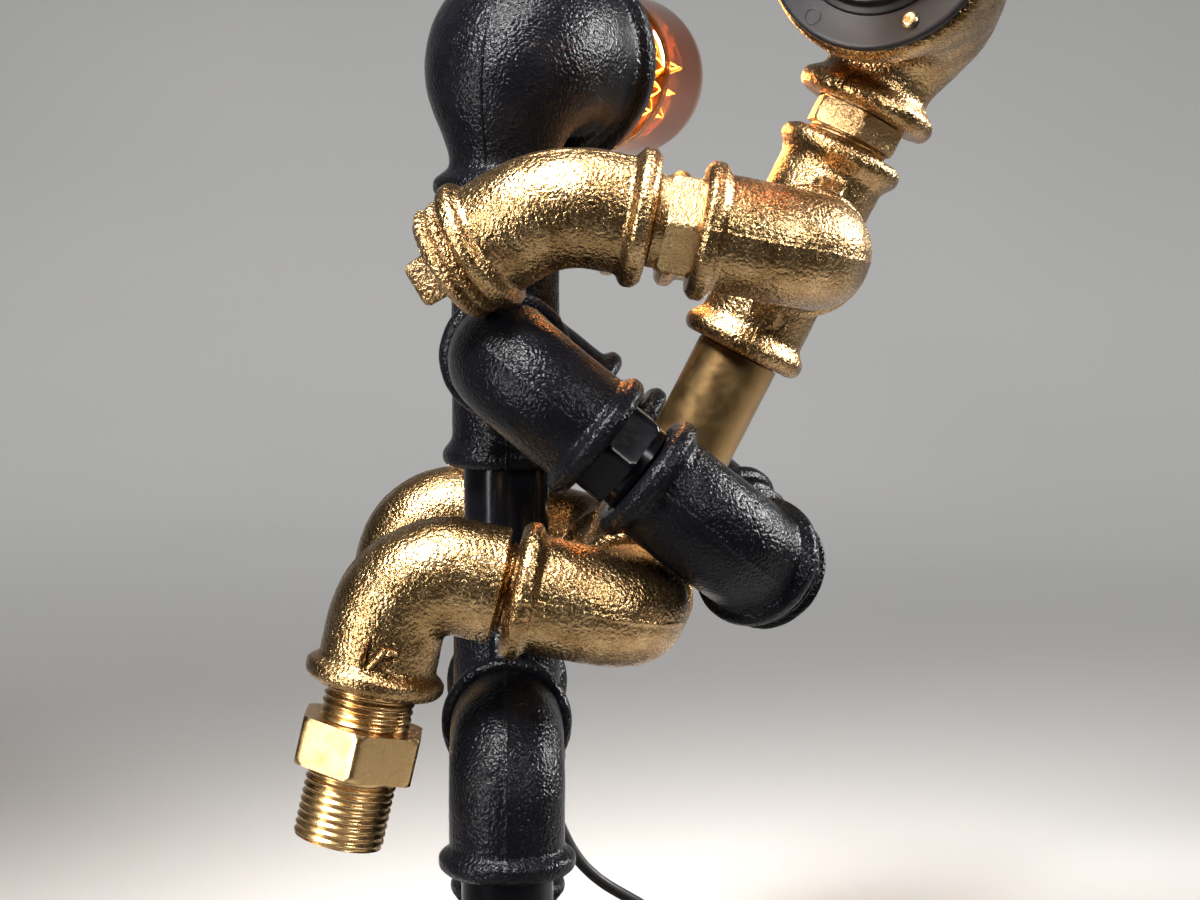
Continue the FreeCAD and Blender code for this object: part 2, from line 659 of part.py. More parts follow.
def head(name, top, up, mouth_way):
    """Reducing elbow with its lamp holder, bulb and own length of lead."""
    centre = top + up * (FACE + neck_gap() + TURNING_CLEARANCE + HEAD_NECK)
    mouth_face = centre + mouth_way * MOUTH_FACE
    lead_start = mouth_face + mouth_way * (holder_floor() - TURNING_CLEARANCE)
    lead_end = centre - up * (HEAD_NECK - ENGAGEMENT - TWIST_GAP)
    route = [lead_start, centre, lead_end]
    nodes = {name + "_head_elbow": placed(head_elbow(), centre, -up, mouth_way),
             name + "_head_lead": round_tube(route, LEAD_R, bend_r=LEAD_BEND_R)}
    for piece, maker in (("_holder_body", holder_body), ("_holder_contacts", holder_contacts),
                         ("_holder_screws", holder_screws), ("_bulb_cap", bulb_cap),
                         ("_bulb_glass", bulb_glass), ("_bulb_filament", bulb_filament)):
        nodes[name + piece] = placed(maker(), mouth_face, mouth_way, up)
    return nodes


def arms(name, shoulder, offset, way, hand_side):
    """Street elbow, hexagon nipple, 45 degree elbow and plug on each side of a cross.

    way is the direction of both upper arms; hand_side(out) is where the hand turns to.
    """
    nodes = {}

    def base(side):
        return shoulder + Y_AXIS * side * offset

    def wrist(side):
        return base(side) + way * (FACE + short_nipple_gap() + FACE_45)

    def hand_plug(side):
        across = hand_side(Y_AXIS * side)
        hand = (way + across) * math.sqrt(0.5)
        return placed(plug(), wrist(side) + hand * FACE_45, hand, Y_AXIS if abs(hand.y) < 0.5 else Z_AXIS)

    for side, place in ((-1, "front"), (1, "rear")):
        out = Y_AXIS * side
        nodes[name + "_upper_arm_" + place] = placed(street_elbow(), base(side), -out, way)
        nodes[name + "_forearm_" + place] = placed(elbow(45, FACE_45, BEND_R_45), wrist(side), -way,
                                                   hand_side(out))
    nodes[name + "_arm_nipples"] = paired(
        lambda side: placed(short_nipple(), base(side) + way * FACE, way, Y_AXIS))
    nodes[name + "_hand_plugs"] = paired(hand_plug)
    return nodes


def light_legs(hip, offset):
    """Thigh elbow, shin elbow and long foot nipple on each side of the light hip tee."""
    nodes = {}
    thigh = leaning(180 - LIGHT_THIGH_RISE)
    shin = leaning(270 - LIGHT_THIGH_RISE)
    reach = FACE - ENGAGEMENT + MALE_REACH
    for side, place in ((-1, "front"), (1, "rear")):
        out = Y_AXIS * side
        base = hip + out * offset
        knee = base + thigh * reach
        nodes["light_thigh_" + place] = placed(street_elbow(), base, -out, thigh)
        nodes["light_shin_" + place] = placed(street_elbow(), knee, -thigh, shin)
        nodes["light_foot_nipple_" + place] = placed(foot_nipple(), knee + shin * FACE, shin, Y_AXIS)
    return nodes


def foot_pads(offset, foot_axis):
    """Four rubber pads, hollowed on top to the round of the feet."""
    heel = -(FACE - BEAD_WIDTH / 2)
    toe = FACE + short_nipple_gap() + CAP_LENGTH / 2
    pads = []
    for side in (-1, 1):
        sole = placed(rod(BEAD_R, 2 * heel, 2 * toe), Vector(0, side * offset, foot_axis), X_AXIS, Z_AXIS)
        for x in (heel, toe):
            pad = Part.makeCylinder(PAD_R, PAD_HEIGHT, Vector(x, side * offset, 0))
            pads.append(pad.cut(sole))
    return Part.makeCompound(pads)


def dark_legs(hip, offset, foot_axis):
    """Thigh elbows, leg nipples and the feet that the lamp stands on."""
    toe_start = FACE + short_nipple_gap()

    def foot(side):
        return Vector(0, side * offset, foot_axis)

    nodes = {
        "dark_leg_nipples": paired(
            lambda side: placed(pipe_nipple(LEG_EXPOSED), foot(side) + Z_AXIS * FACE, Z_AXIS, Y_AXIS)),
        "dark_heel_plugs": paired(
            lambda side: placed(plug(), foot(side) - X_AXIS * FACE, -X_AXIS, Z_AXIS)),
        "dark_toe_nipples": paired(
            lambda side: placed(short_nipple(), foot(side) + X_AXIS * FACE, X_AXIS, Z_AXIS)),
        "dark_toe_caps": paired(
            lambda side: placed(cap(), foot(side) + X_AXIS * toe_start, X_AXIS, Z_AXIS)),
        "foot_pads": foot_pads(offset, foot_axis),
    }
    for side, place in ((-1, "front"), (1, "rear")):
        out = Y_AXIS * side
        nodes["dark_thigh_" + place] = placed(street_elbow(), hip + out * offset, -out, -Z_AXIS)
        nodes["dark_foot_tee_" + place] = placed(tee(), foot(side), Z_AXIS, X_AXIS)
    return nodes


def cord_nodes(leg_axis):
    """Gland, mains cord, in-line switch, coil and plug, from the rear leg outwards."""
    way = gland_direction()
    exit_centre = Vector(0, leg_axis, PAD_THICKNESS + BEAD_R + FACE + GLAND_HEIGHT)
    start = exit_centre + way * GLAND_LENGTH
    x, y = SWITCH_CENTRE
    reach = SWITCH_LENGTH / 2 + SWITCH_NOZZLE
    lie = CORD_R
    to_switch = [start, start + way * 6, Vector(9.8, 81, 68), Vector(11.6, 85.6, 63.3),
                 Vector(13.6, 89.3, 55.8), Vector(16.8, 92.4, 47), Vector(21.2, 95, 39),
                 Vector(27.8, 97.5, 32.2), Vector(36.5, 100, 26.5), Vector(47.5, 101.5, 19.5),
                 Vector(60, 102, 10.5), Vector(74, 100, 3.4), Vector(90, 94, lie), Vector(108, 88, lie),
                 Vector(124, 87, lie), Vector(136, 96, lie), Vector(138, 110, 2.4), Vector(129, 120, 5),
                 Vector(117, y, SWITCH_AXIS), Vector(x + reach, y, SWITCH_AXIS)]
    centre_x, centre_y = COIL_CENTRE
    winding_r = COIL_R + COIL_WIDTH / 2 - CORD_R - COIL_CHAMFER / 2
    enter, leave = math.radians(60), math.radians(110)
    to_coil = [Vector(x - reach, y, SWITCH_AXIS), Vector(28, y, SWITCH_AXIS), Vector(21.5, 124.3, 5.9),
               Vector(12.5, 131.2, 3.3),
               Vector(centre_x + winding_r * math.cos(enter), centre_y + winding_r * math.sin(enter), lie)]
    heading = math.radians(PLUG_HEADING)
    plug_way = Vector(math.cos(heading), math.sin(heading), 0)
    plug_end = Vector(PLUG_CORD_END[0], PLUG_CORD_END[1], PLUG_HEIGHT / 2)
    top = COIL_HEIGHT - CORD_R
    to_plug = [Vector(centre_x + winding_r * math.cos(leave), centre_y + winding_r * math.sin(leave), top),
               plug_end - plug_way * 14, plug_end]
    ring = coil().translated(Vector(centre_x, centre_y, 0))
    stretches = [round_tube(to_switch, CORD_R), round_tube(to_coil, CORD_R).cut(ring),
                 round_tube(to_plug, CORD_R).cut(ring)]
    switch_place = Vector(x, y, 0)
    return {
        "cord_gland": placed(gland(), exit_centre, way, Z_AXIS),
        "mains_cord": Part.makeCompound(stretches),
        "cord_coil": ring,
        "switch_body": switch_body().translated(switch_place),
        "switch_rocker": rocker().translated(switch_place),
        "switch_contacts": switch_contacts().translated(switch_place),
        "mains_plug_body": placed(plug_body(), plug_end, plug_way, Z_AXIS),
        "mains_plug_pins": placed(plug_pins(), plug_end, plug_way, Z_AXIS),
    }


def lamp():
    """Every node's shape, in place, by its name."""
    dark_limb = FACE - DARK_ENGAGEMENT + MALE_REACH
    light_limb = FACE - LIGHT_ENGAGEMENT + MALE_REACH
    foot_axis = PAD_THICKNESS + BEAD_R
    hip = Vector(0, 0, foot_axis + FACE + LEG_EXPOSED + FACE)
    shoulder = hip + Z_AXIS * (2 * FACE + DARK_TORSO_EXPOSED)
    light_up = leaning(RIGHT_ANGLE - LIGHT_LEAN)
    light_shoulder = Vector(LIGHT_X, 0, shoulder.z + LIGHT_RISE)
    light_hip = light_shoulder - light_up * (2 * FACE + LIGHT_TORSO_EXPOSED)
    dark_yaw = math.radians(DARK_HEAD_YAW)
    dark_gaze = Vector(math.sin(dark_yaw), math.cos(dark_yaw), 0)
    light_yaw = math.radians(LIGHT_HEAD_YAW)
    light_gaze = leaning(180 - LIGHT_LEAN) * math.cos(light_yaw) - Y_AXIS * math.sin(light_yaw)
    twist = math.radians(LIGHT_HAND_TWIST)
    light_drop = leaning(270 - LIGHT_ARM_RISE) * math.cos(twist)

    nodes = torso("dark", shoulder, hip, Z_AXIS, DARK_TORSO_EXPOSED)
    nodes.update(head("dark", shoulder, Z_AXIS, dark_gaze))
    nodes.update(arms("dark", shoulder, dark_limb, leaning(-DARK_ARM_DROP), lambda out: -out))
    nodes.update(dark_legs(hip, dark_limb, foot_axis))
    nodes.update(torso("light", light_shoulder, light_hip, light_up, LIGHT_TORSO_EXPOSED))
    nodes.update(head("light", light_shoulder, light_up, light_gaze))
    nodes.update(arms("light", light_shoulder, light_limb, leaning(180 - LIGHT_ARM_RISE),
                      lambda out: light_drop - out * math.sin(twist)))
    nodes.update(light_legs(light_hip, light_limb))
    nodes.update(cord_nodes(dark_limb))

    # the dark pair runs from the neck to the gland, the light pair from the neck to the hip
    neck_top = FACE + neck_gap() + ENGAGEMENT
    gland_height = foot_axis + FACE + GLAND_HEIGHT
    rear = Y_AXIS * dark_limb
    gland_inner = Vector(0, dark_limb, gland_height) + gland_direction() * (PIPE_BORE_R - 0.5)
    dark_route = [shoulder + Z_AXIS * neck_top, hip, hip + rear, Vector(0, dark_limb, gland_height),
                  gland_inner]
    light_route = [light_shoulder + light_up * neck_top, light_hip, light_hip + Y_AXIS * FACE]
    nodes["dark_body_lead"] = round_tube(dark_route, LEAD_R, bend_r=LEAD_BEND_R)
    nodes["light_body_lead"] = round_tube(light_route, LEAD_R, bend_r=LEAD_BEND_R)
    hole = placed(rod(GLAND_NECK_R + 0.1, 0, 2 * PIPE_R), Vector(0, dark_limb, gland_height),
                  gland_direction(), Z_AXIS)
    nodes["dark_leg_nipples"] = nodes["dark_leg_nipples"].cut(hole)
    nodes["dark_plugs"] = Part.makeCompound(nodes.pop("dark_hand_plugs").Solids
                                            + nodes.pop("dark_heel_plugs").Solids)
    return nodes


def to_base_centre(nodes):
    """Step from the origin of the layout to the middle of the lamp's own base rectangle."""
    own = [shape for name, shape in nodes.items() if not name.startswith(LYING_NODES)]
    box = Part.makeCompound(own).optimalBoundingBox()
    return Vector(-box.Center.x, -box.Center.y, 0)


os.makedirs("parts", exist_ok=True)
placed_nodes = lamp()
shift = to_base_centre(placed_nodes)
print("the standing figure's axis is at x %.3f, y %.3f" % (shift.x, shift.y))
for node_name, node_shape in placed_nodes.items():
    node_shape.translated(shift).exportStep("parts/" + node_name + ".step")
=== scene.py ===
"""Table lamp built of threaded pipe fittings: a black and a gold figure hold each other.

Sizes are in millimetres in the figures' own layout frame: its Z axis is the black figure's spine,
its Y axis runs along the black shoulders and its ground is the table. Meshes are written in metres
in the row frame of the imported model.
"""

from __future__ import annotations

import json
import logging
import math
from dataclasses import dataclass, field, replace
from enum import Enum
from typing import Callable, Iterable, Sequence

import bmesh
import bpy
import numpy as np
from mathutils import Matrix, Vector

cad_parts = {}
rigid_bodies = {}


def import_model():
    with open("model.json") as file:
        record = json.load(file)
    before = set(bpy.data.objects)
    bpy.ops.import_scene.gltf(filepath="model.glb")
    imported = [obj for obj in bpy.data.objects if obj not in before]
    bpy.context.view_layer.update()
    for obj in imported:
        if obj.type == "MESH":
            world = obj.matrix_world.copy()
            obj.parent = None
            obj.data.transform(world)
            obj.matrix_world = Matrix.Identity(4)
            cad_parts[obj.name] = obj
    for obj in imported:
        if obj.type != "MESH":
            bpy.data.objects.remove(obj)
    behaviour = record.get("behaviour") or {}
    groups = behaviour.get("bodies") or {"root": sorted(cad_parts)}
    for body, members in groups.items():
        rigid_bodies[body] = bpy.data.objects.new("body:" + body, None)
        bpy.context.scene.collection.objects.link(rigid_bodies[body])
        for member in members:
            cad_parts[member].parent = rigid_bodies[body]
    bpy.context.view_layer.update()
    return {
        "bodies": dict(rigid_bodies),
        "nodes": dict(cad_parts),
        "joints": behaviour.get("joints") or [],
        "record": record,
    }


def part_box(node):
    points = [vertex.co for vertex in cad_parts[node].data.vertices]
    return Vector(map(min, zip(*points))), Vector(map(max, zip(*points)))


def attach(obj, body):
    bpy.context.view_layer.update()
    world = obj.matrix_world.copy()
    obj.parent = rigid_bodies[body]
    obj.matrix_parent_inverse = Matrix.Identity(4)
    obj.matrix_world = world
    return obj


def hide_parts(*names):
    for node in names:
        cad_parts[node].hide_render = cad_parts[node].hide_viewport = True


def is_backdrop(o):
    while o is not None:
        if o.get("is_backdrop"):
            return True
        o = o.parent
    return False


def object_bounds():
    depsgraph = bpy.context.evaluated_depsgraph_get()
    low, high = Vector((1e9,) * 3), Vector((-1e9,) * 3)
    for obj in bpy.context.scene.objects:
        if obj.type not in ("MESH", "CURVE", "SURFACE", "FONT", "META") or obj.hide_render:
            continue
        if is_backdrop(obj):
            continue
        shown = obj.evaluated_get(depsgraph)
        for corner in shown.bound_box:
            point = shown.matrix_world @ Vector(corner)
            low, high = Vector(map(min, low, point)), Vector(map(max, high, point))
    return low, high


LOG = logging.getLogger("pipe_lamp")

Array = np.ndarray
Colour = tuple[float, float, float]
Socket = bpy.types.NodeSocket
MM = 0.001
TURN = 2 * math.pi
METAL_GLINT = 0.5       # Specular IOR Level of bare and painted metal
ENAMEL_GLINT = 0.10     # that of enamel, whose dark base takes up most of what falls on it
MOULDED_GLINT = 0.22    # that of moulded plastic and rubber
X_AXIS = np.array([1.0, 0.0, 0.0])
Y_AXIS = np.array([0.0, 1.0, 0.0])
Z_AXIS = np.array([0.0, 0.0, 1.0])


# ---------------------------------------------------------------- sizes and places


class Side(Enum):
    """Side of a figure, with its sign along Y."""

    FRONT = -1
    REAR = 1

    @property
    def label(self) -> str:
        """Word for the side in the names of nodes and pieces."""
        return self.name.lower()

    @property
    def out(self) -> Array:
        """Way out from the spine on this side."""
        return Y_AXIS * self.value


class Kind(Enum):
    """Kinds of open end of a fitting."""

    MALE = "male"
    FEMALE = "female"


@dataclass(frozen=True)
class FittingSizes:
    """Sizes that all half-inch fittings share."""

    pipe_r: float = 10.65
    bore_r: float = 8.1
    thread_r: float = 10.45
    socket_r: float = 10.75
    waterway_r: float = 8.6
    body_r: float = 13.5
    bead_r: float = 16.0
    face: float = 29.0
    face_45: float = 22.5
    male_reach: float = 38.5
    thread: float = 15.0
    engagement: float = 12.5
    socket_depth: float = 14.0
    bend_r: float = 15.0
    bend_r_45: float = 26.0
    hex_across: float = 22.0
    hex_width: float = 7.5
    hex_ring: float = 3.0
    neck_ring: float = 2.0
    neck_hex: float = 6.5
    turning: float = 0.3
    pitch: float = 1.814
    thread_depth: float = 0.62

    @property
    def nipple_gap(self) -> float:
        """Distance that a short nipple holds two faces apart."""
        return self.hex_width + self.hex_ring

    @property
    def neck_gap(self) -> float:
        """Distance that a neck's nipple holds cross and head apart."""
        return self.neck_ring + self.neck_hex


FIT = FittingSizes()
BEAD_REACH = 8.0        # how far the bead's curve reaches back from a face
BEAD_STEP = 0.36        # distance of the rows along it


def unit(vector: Array) -> Array:
    """The vector at length one."""
    return np.asarray(vector, float) / np.linalg.norm(vector)


def leaning(degrees: float) -> Array:
    """Direction in the plane of X and Z, at an angle from +X towards +Z."""
    angle = math.radians(degrees)
    return np.array([math.cos(angle), 0.0, math.sin(angle)])


def heading(angle: float) -> Array:
    """Level direction, at an angle in radians from +X towards +Y."""
    return np.array([math.cos(angle), math.sin(angle), 0.0])


@dataclass(frozen=True)
class Place:
    """Local frame of a piece: its Z axis runs along, its X axis leans toward.

    Attributes:
        origin: where the local origin is, in the layout frame.
        along: direction of local Z.
        toward: direction that local X is turned to.
    """

    origin: Array
    along: Array
    toward: Array

    def axes(self) -> tuple[Array, Array, Array]:
        """Directions of local X, Y and Z."""
        z = unit(self.along)
        x = unit(self.toward - z * (self.toward @ z))
        return x, np.cross(z, x), z

    def lay(self, points: Array) -> Array:
        """Points given in the local frame, in the layout frame.

        Args:
            points: array whose last axis holds local x, y and z.

        Returns:
            The array in the layout frame.
        """
        x, y, z = self.axes()
        return self.origin + points[..., :1] * x + points[..., 1:2] * y + points[..., 2:3] * z


# ---------------------------------------------------------------- noise


def corner_values(cells: Array, seed: int) -> Array:
    """Fixed pseudo-random number from -1 to 1 for each cell corner, mixed from its three indices."""
    mixed = cells[..., 0] * 374761393 + cells[..., 1] * 668265263 + cells[..., 2] * 1442695041
    mixed = (mixed + seed * 974634777) & 0x7FFFFFFF
    mixed = ((mixed ^ (mixed >> 13)) * 1274126177) & 0x7FFFFFFF
    mixed ^= mixed >> 16
    return (mixed & 0xFFFF) / 32767.5 - 1.0


def grain(points: Array, cell: float, seed: int) -> Array:
    """Smooth noise: the values at the corners of a cube of side cell, blended by smoothstep weights.

    Args:
        points: array whose last axis holds x, y and z.
        cell: side of the cubes, in the unit of the points.
        seed: number that picks one of many patterns.

    Returns:
        Array of values from -1 to 1.
    """
    tilt = np.array([[0.80, 0.36, -0.48], [-0.60, 0.48, -0.64], [0.0, 0.80, 0.60]])
    scaled = points @ tilt / cell
    base = np.floor(scaled).astype(np.int64)
    part = scaled - base
    part = part * part * (3 - 2 * part)
    total = np.zeros(points.shape[:-1])
    for corner in range(8):
        offset = np.array([corner & 1, corner >> 1 & 1, corner >> 2 & 1])
        weight = np.prod(np.where(offset == 1, part, 1 - part), axis=-1)
        total += weight * corner_values(base + offset, seed)
    return total


# ---------------------------------------------------------------- meshes under way


def polar(radii: Array | float, angles: Array | float, heights: Array | float) -> Array:
    """Points by radius, angle and height: x and y are the radius times the cosine and the sine."""
    return np.stack(np.broadcast_arrays(radii * np.cos(angles), radii * np.sin(angles), heights), -1)


def around(count: int) -> Array:
    """Angles that share a full turn evenly."""
    return np.arange(count) / count * TURN


@dataclass
class Shell:
    """Closed mesh under way, in millimetres of the layout frame.

    Attributes:
        points: one row for each vertex.
        faces: vertex numbers, three or four to a face.
    """

    points: Array
    faces: list[list[int]]

    def outward(self) -> "Shell":
        """The same shell with its faces turned outwards, by the sign of its volume."""
        corners = np.array([face if len(face) == 4 else face + face[-1:] for face in self.faces])
        a, b, c, d = (self.points[corners[:, i]] for i in range(4))
        volume = np.einsum("ij,ij->i", a, np.cross(b, c)) + np.einsum("ij,ij->i", a, np.cross(c, d))
        if volume.sum() < 0:
            return Shell(self.points, [face[::-1] for face in self.faces])
        return self


def gathered(shells: Iterable[Shell]) -> Shell:
    """Several shells as one, each kept closed by itself."""
    points, faces, count = [], [], 0
    for shell in shells:
        shell = shell.outward()
        points.append(shell.points)
        faces += [[number + count for number in face] for face in shell.faces]
        count += len(shell.points)
    return Shell(np.concatenate(points), faces)


def net(points: Array, ring: bool = False, poles: tuple[Array | None, Array | None] = (None, None)) -> Shell:
    """Shell over a grid of points whose second index runs round.

    Args:
        points: grid of shape (rows, columns, 3).
        ring: whether the last row joins the first, so that the profile closes on itself.
        poles: points that close the first and the last row otherwise.

    Returns:
        The shell, with a fan of triangles at each pole.
    """
    rows, columns = points.shape[:2]
    row = np.arange(rows if ring else rows - 1)[:, None]
    column = np.arange(columns)[None, :]
    below, after = (row + 1) % rows, (column + 1) % columns
    quads = np.stack([row * columns + column, row * columns + after,
                      below * columns + after, below * columns + column], -1)
    faces = quads.reshape(-1, 4).tolist()
    vertices = [points.reshape(-1, 3)]
    count = rows * columns
    for pole, first in ((poles[0], 0), (poles[1], (rows - 1) * columns)):
        if pole is None:
            continue
        vertices.append(np.asarray(pole, float).reshape(1, 3))
        start = (first + np.arange(columns)).tolist()
        end = (first + (np.arange(columns) + 1) % columns).tolist()
        if first == 0:
            faces += [[e, s, count] for s, e in zip(start, end)]
        else:
            faces += [[s, e, count] for s, e in zip(start, end)]
        count += 1
    return Shell(np.concatenate(vertices), faces).outward()


def spun(place: Place, heights: Array, radii: Array, ring: bool = False, columns: int = 96) -> Shell:
    """Surface of revolution about local Z: radius as a function of the row and of the angle.

    Args:
        place: local frame.
        heights: local z of each row.
        radii: radius of each row, or of each row and column.
        ring: whether the profile closes on itself; otherwise its ends close on the axis.
        columns: number of points round, where radii has one value for each row.

    Returns:
        The shell in the layout frame.
    """
    heights = np.asarray(heights, float)
    radii = np.asarray(radii, float)
    if radii.ndim == 1:
        radii = np.repeat(radii[:, None], columns, axis=1)
    local = polar(radii, around(radii.shape[1]), heights[:, None])
    if ring:
        return net(place.lay(local), ring=True)
    poles = tuple(place.lay(Z_AXIS * z) for z in (heights[0], heights[-1]))
    return net(place.lay(local), poles=poles)


def carried(path: Array, radius: float | Array, normals: Array | None = None, columns: int = 10,
            closed: bool = False, flat: float = 1.0) -> Shell:
    """Round profile carried along a path, with its frame turned from point to point.

    Args:
        path: points of the path.
        radius: radius of the profile, or one for each point.
        normals: direction of the profile's first axis at each point, where it matters.
        columns: points round the profile.
        closed: whether the path is a loop.
        flat: share of the radius along the second axis.

    Returns:
        Closed tube along the path.
    """
    path = np.asarray(path, float)
    if closed:
        tangents = np.roll(path, -1, axis=0) - np.roll(path, 1, axis=0)
    else:
        tangents = np.gradient(path, axis=0)
    tangents /= np.linalg.norm(tangents, axis=1, keepdims=True)
    if normals is None:
        start = np.cross(tangents[0], Z_AXIS if abs(tangents[0][2]) < 0.9 else X_AXIS)
        rows = [unit(start)]
        for tangent in tangents[1:]:
            rows.append(unit(rows[-1] - tangent * (rows[-1] @ tangent)))
        normals = np.array(rows)
    normals = normals - tangents * np.einsum("ij,ij->i", normals, tangents)[:, None]
    normals /= np.linalg.norm(normals, axis=1, keepdims=True)
    sides = np.cross(tangents, normals)
    angles = around(columns)
    radii = np.broadcast_to(np.asarray(radius, float), (len(path),))[:, None, None]
    rim = (np.cos(angles)[None, :, None] * normals[:, None, :]
           + flat * np.sin(angles)[None, :, None] * sides[:, None, :])
    points = path[:, None, :] + radii * rim
    if closed:
        return net(points, ring=True)
    return net(points, poles=(path[0], path[-1]))


def ramp(low: float, high: float, value: Array) -> Array:
    """Smoothstep of the value from low to high: 0 before low, 1 after high."""
    part = np.clip((value - low) / (high - low), 0, 1)
    return part * part * (3 - 2 * part)


def relaxed(shell: Shell, rounds: int) -> Shell:
    """Each point of a shell of quads moves half way to the mean of its neighbours, several times."""
    quads = np.array(shell.faces)
    start = np.concatenate([quads[:, i] for i in range(4)])
    end = np.concatenate([quads[:, (i + 1) % 4] for i in range(4)])
    points, count = shell.points, len(shell.points)
    near = np.maximum(np.bincount(start, minlength=count), 1)[:, None]
    for _ in range(rounds):
        total = np.stack([np.bincount(start, weights=points[end, k], minlength=count) for k in range(3)], -1)
        points = points + 0.5 * (total / near - points)
    return Shell(points, shell.faces)


def vertex_normals(shell: Shell) -> Array:
    """Mean of the faces' normals round each vertex, each the cross product of a quad's diagonals."""
    quads = np.array(shell.faces)
    a, b, c, d = (shell.points[quads[:, i]] for i in range(4))
    across = np.cross(c - a, d - b)
    count = len(shell.points)
    total = np.zeros((count, 3))
    for i in range(4):
        for k in range(3):
            total[:, k] += np.bincount(quads[:, i], weights=across[:, k], minlength=count)
    return total / np.maximum(np.linalg.norm(total, axis=1, keepdims=True), 1e-12)


# ---------------------------------------------------------------- finishes


class Wires:
    """Node tree of one finish, read on Object coordinates in metres."""

    def __init__(self, name: str) -> None:
        """Start a material with its shader and coordinates."""
        self.material = bpy.data.materials.new(name)
        self.material.use_nodes = True
        self.tree = self.material.node_tree
        self.shader = self.tree.nodes["Principled BSDF"]
        self.place = self.tree.nodes.new("ShaderNodeTexCoord").outputs["Object"]

    def link(self, source: Socket, socket: Socket) -> None:
        """Join two sockets."""
        self.tree.links.new(source, socket)

    def noise(self, scale: float, detail: float = 2.0, roughness: float = 0.5) -> Socket:
        """Noise of a scale in cells for each metre."""
        node = self.tree.nodes.new("ShaderNodeTexNoise")
        node.inputs["Scale"].default_value = scale
        node.inputs["Detail"].default_value = detail
        node.inputs["Roughness"].default_value = roughness
        self.link(self.place, node.inputs["Vector"])
        return node.outputs["Fac"]

    def between(self, value: Socket, low: float, high: float, first: float, last: float) -> Socket:
        """The value's part from low to high, spread from first to last."""
        node = self.tree.nodes.new("ShaderNodeMapRange")
        for name, number in (("From Min", low), ("From Max", high), ("To Min", first), ("To Max", last)):
            node.inputs[name].default_value = number
        self.link(value, node.inputs["Value"])
        return node.outputs["Result"]

    def colours(self, value: Socket, stops: Sequence[tuple[float, Colour]]) -> Socket:
        """Colour by value, through a ramp of stops."""
        node = self.tree.nodes.new("ShaderNodeValToRGB")
        elements = node.color_ramp.elements
        while len(elements) < len(stops):
            elements.new(0.5)
        for element, (position, colour) in zip(elements, stops):
            element.position = position
            element.color = (*colour, 1.0)
        self.link(value, node.inputs["Fac"])
        return node.outputs["Color"]

    def bumps(self, *heights: tuple[Socket, float]) -> None:
        """Surface relief from several heights, each with its depth in metres."""
        last = None
        for value, depth in heights:
            node = self.tree.nodes.new("ShaderNodeBump")
            node.inputs["Strength"].default_value = 1.0
            node.inputs["Distance"].default_value = depth
            self.link(value, node.inputs["Height"])
            if last is not None:
                self.link(last, node.inputs["Normal"])
            last = node.outputs["Normal"]
        self.link(last, self.shader.inputs["Normal"])

    def dress(self, value: Socket, stops: Sequence[tuple[float, Colour]], wear: Socket,
              gloss: tuple[float, float]) -> None:
        """Base colour by one value through a ramp of stops, roughness by another value.

        Args:
            value: what picks the colour.
            stops: positions and colours of the ramp.
            wear: what picks the roughness, from 0.3 to 0.7.
            gloss: lowest and highest roughness.
        """
        self.link(self.colours(value, stops), self.shader.inputs["Base Color"])
        self.link(self.between(wear, 0.3, 0.7, *gloss), self.shader.inputs["Roughness"])

    def set(self, **numbers: float | tuple[float, ...]) -> None:
        """Set the shader's own sockets; an underscore stands for a space in their names."""
        for name, value in numbers.items():
            self.shader.inputs[name.replace("_", " ")].default_value = value


class Finish:
    """Finish of a piece: a named material, made once, and the record's slot for it."""

    name: str
    slot: str

    def build(self) -> bpy.types.Material:
        """Make the material; each finish has its own way."""
        raise NotImplementedError

    @property
    def material(self) -> bpy.types.Material:
        """The material, made when it is first asked for."""
        found = bpy.data.materials.get(self.name)
        return found if found is not None else self.build()


@dataclass(frozen=True)
class CastPaint(Finish):
    """Paint over a rough casting.

    Attributes:
        name: name of the material.
        slot: material slot of the record; not used.
        deep, middle, high: darker, middle and paler colours, mixed by broad noise.
        metallic: 1 for metal paint, 0 for enamel.
        gloss: lowest and highest roughness.
        peel: scale and depth of the paint's orange peel.
        grit: scale and depth of the sand grain under it.
    """

    name: str
    slot: str
    deep: Colour
    middle: Colour
    high: Colour
    metallic: float
    gloss: tuple[float, float]
    peel: tuple[float, float]
    grit: tuple[float, float]

    def build(self) -> bpy.types.Material:
        """Colour by broad noise, roughness by middling noise, relief of peel and grit."""
        wires = Wires(self.name)
        peel = wires.noise(self.peel[0], 1.5, 0.45)
        grit = wires.noise(self.grit[0], 3.0, 0.6)
        broad = wires.noise(self.peel[0] / 9, 3.0, 0.6)
        field_mix = wires.between(broad, 0.3, 0.7, 0.25, 0.75)
        stops = ((0.2, self.deep), (0.5, self.middle), (0.85, self.high))
        wires.dress(field_mix, stops, grit, self.gloss)
        wires.set(Metallic=self.metallic, Specular_IOR_Level=METAL_GLINT if self.metallic else ENAMEL_GLINT)
        wires.bumps((peel, self.peel[1]), (grit, self.grit[1]))
        return wires.material


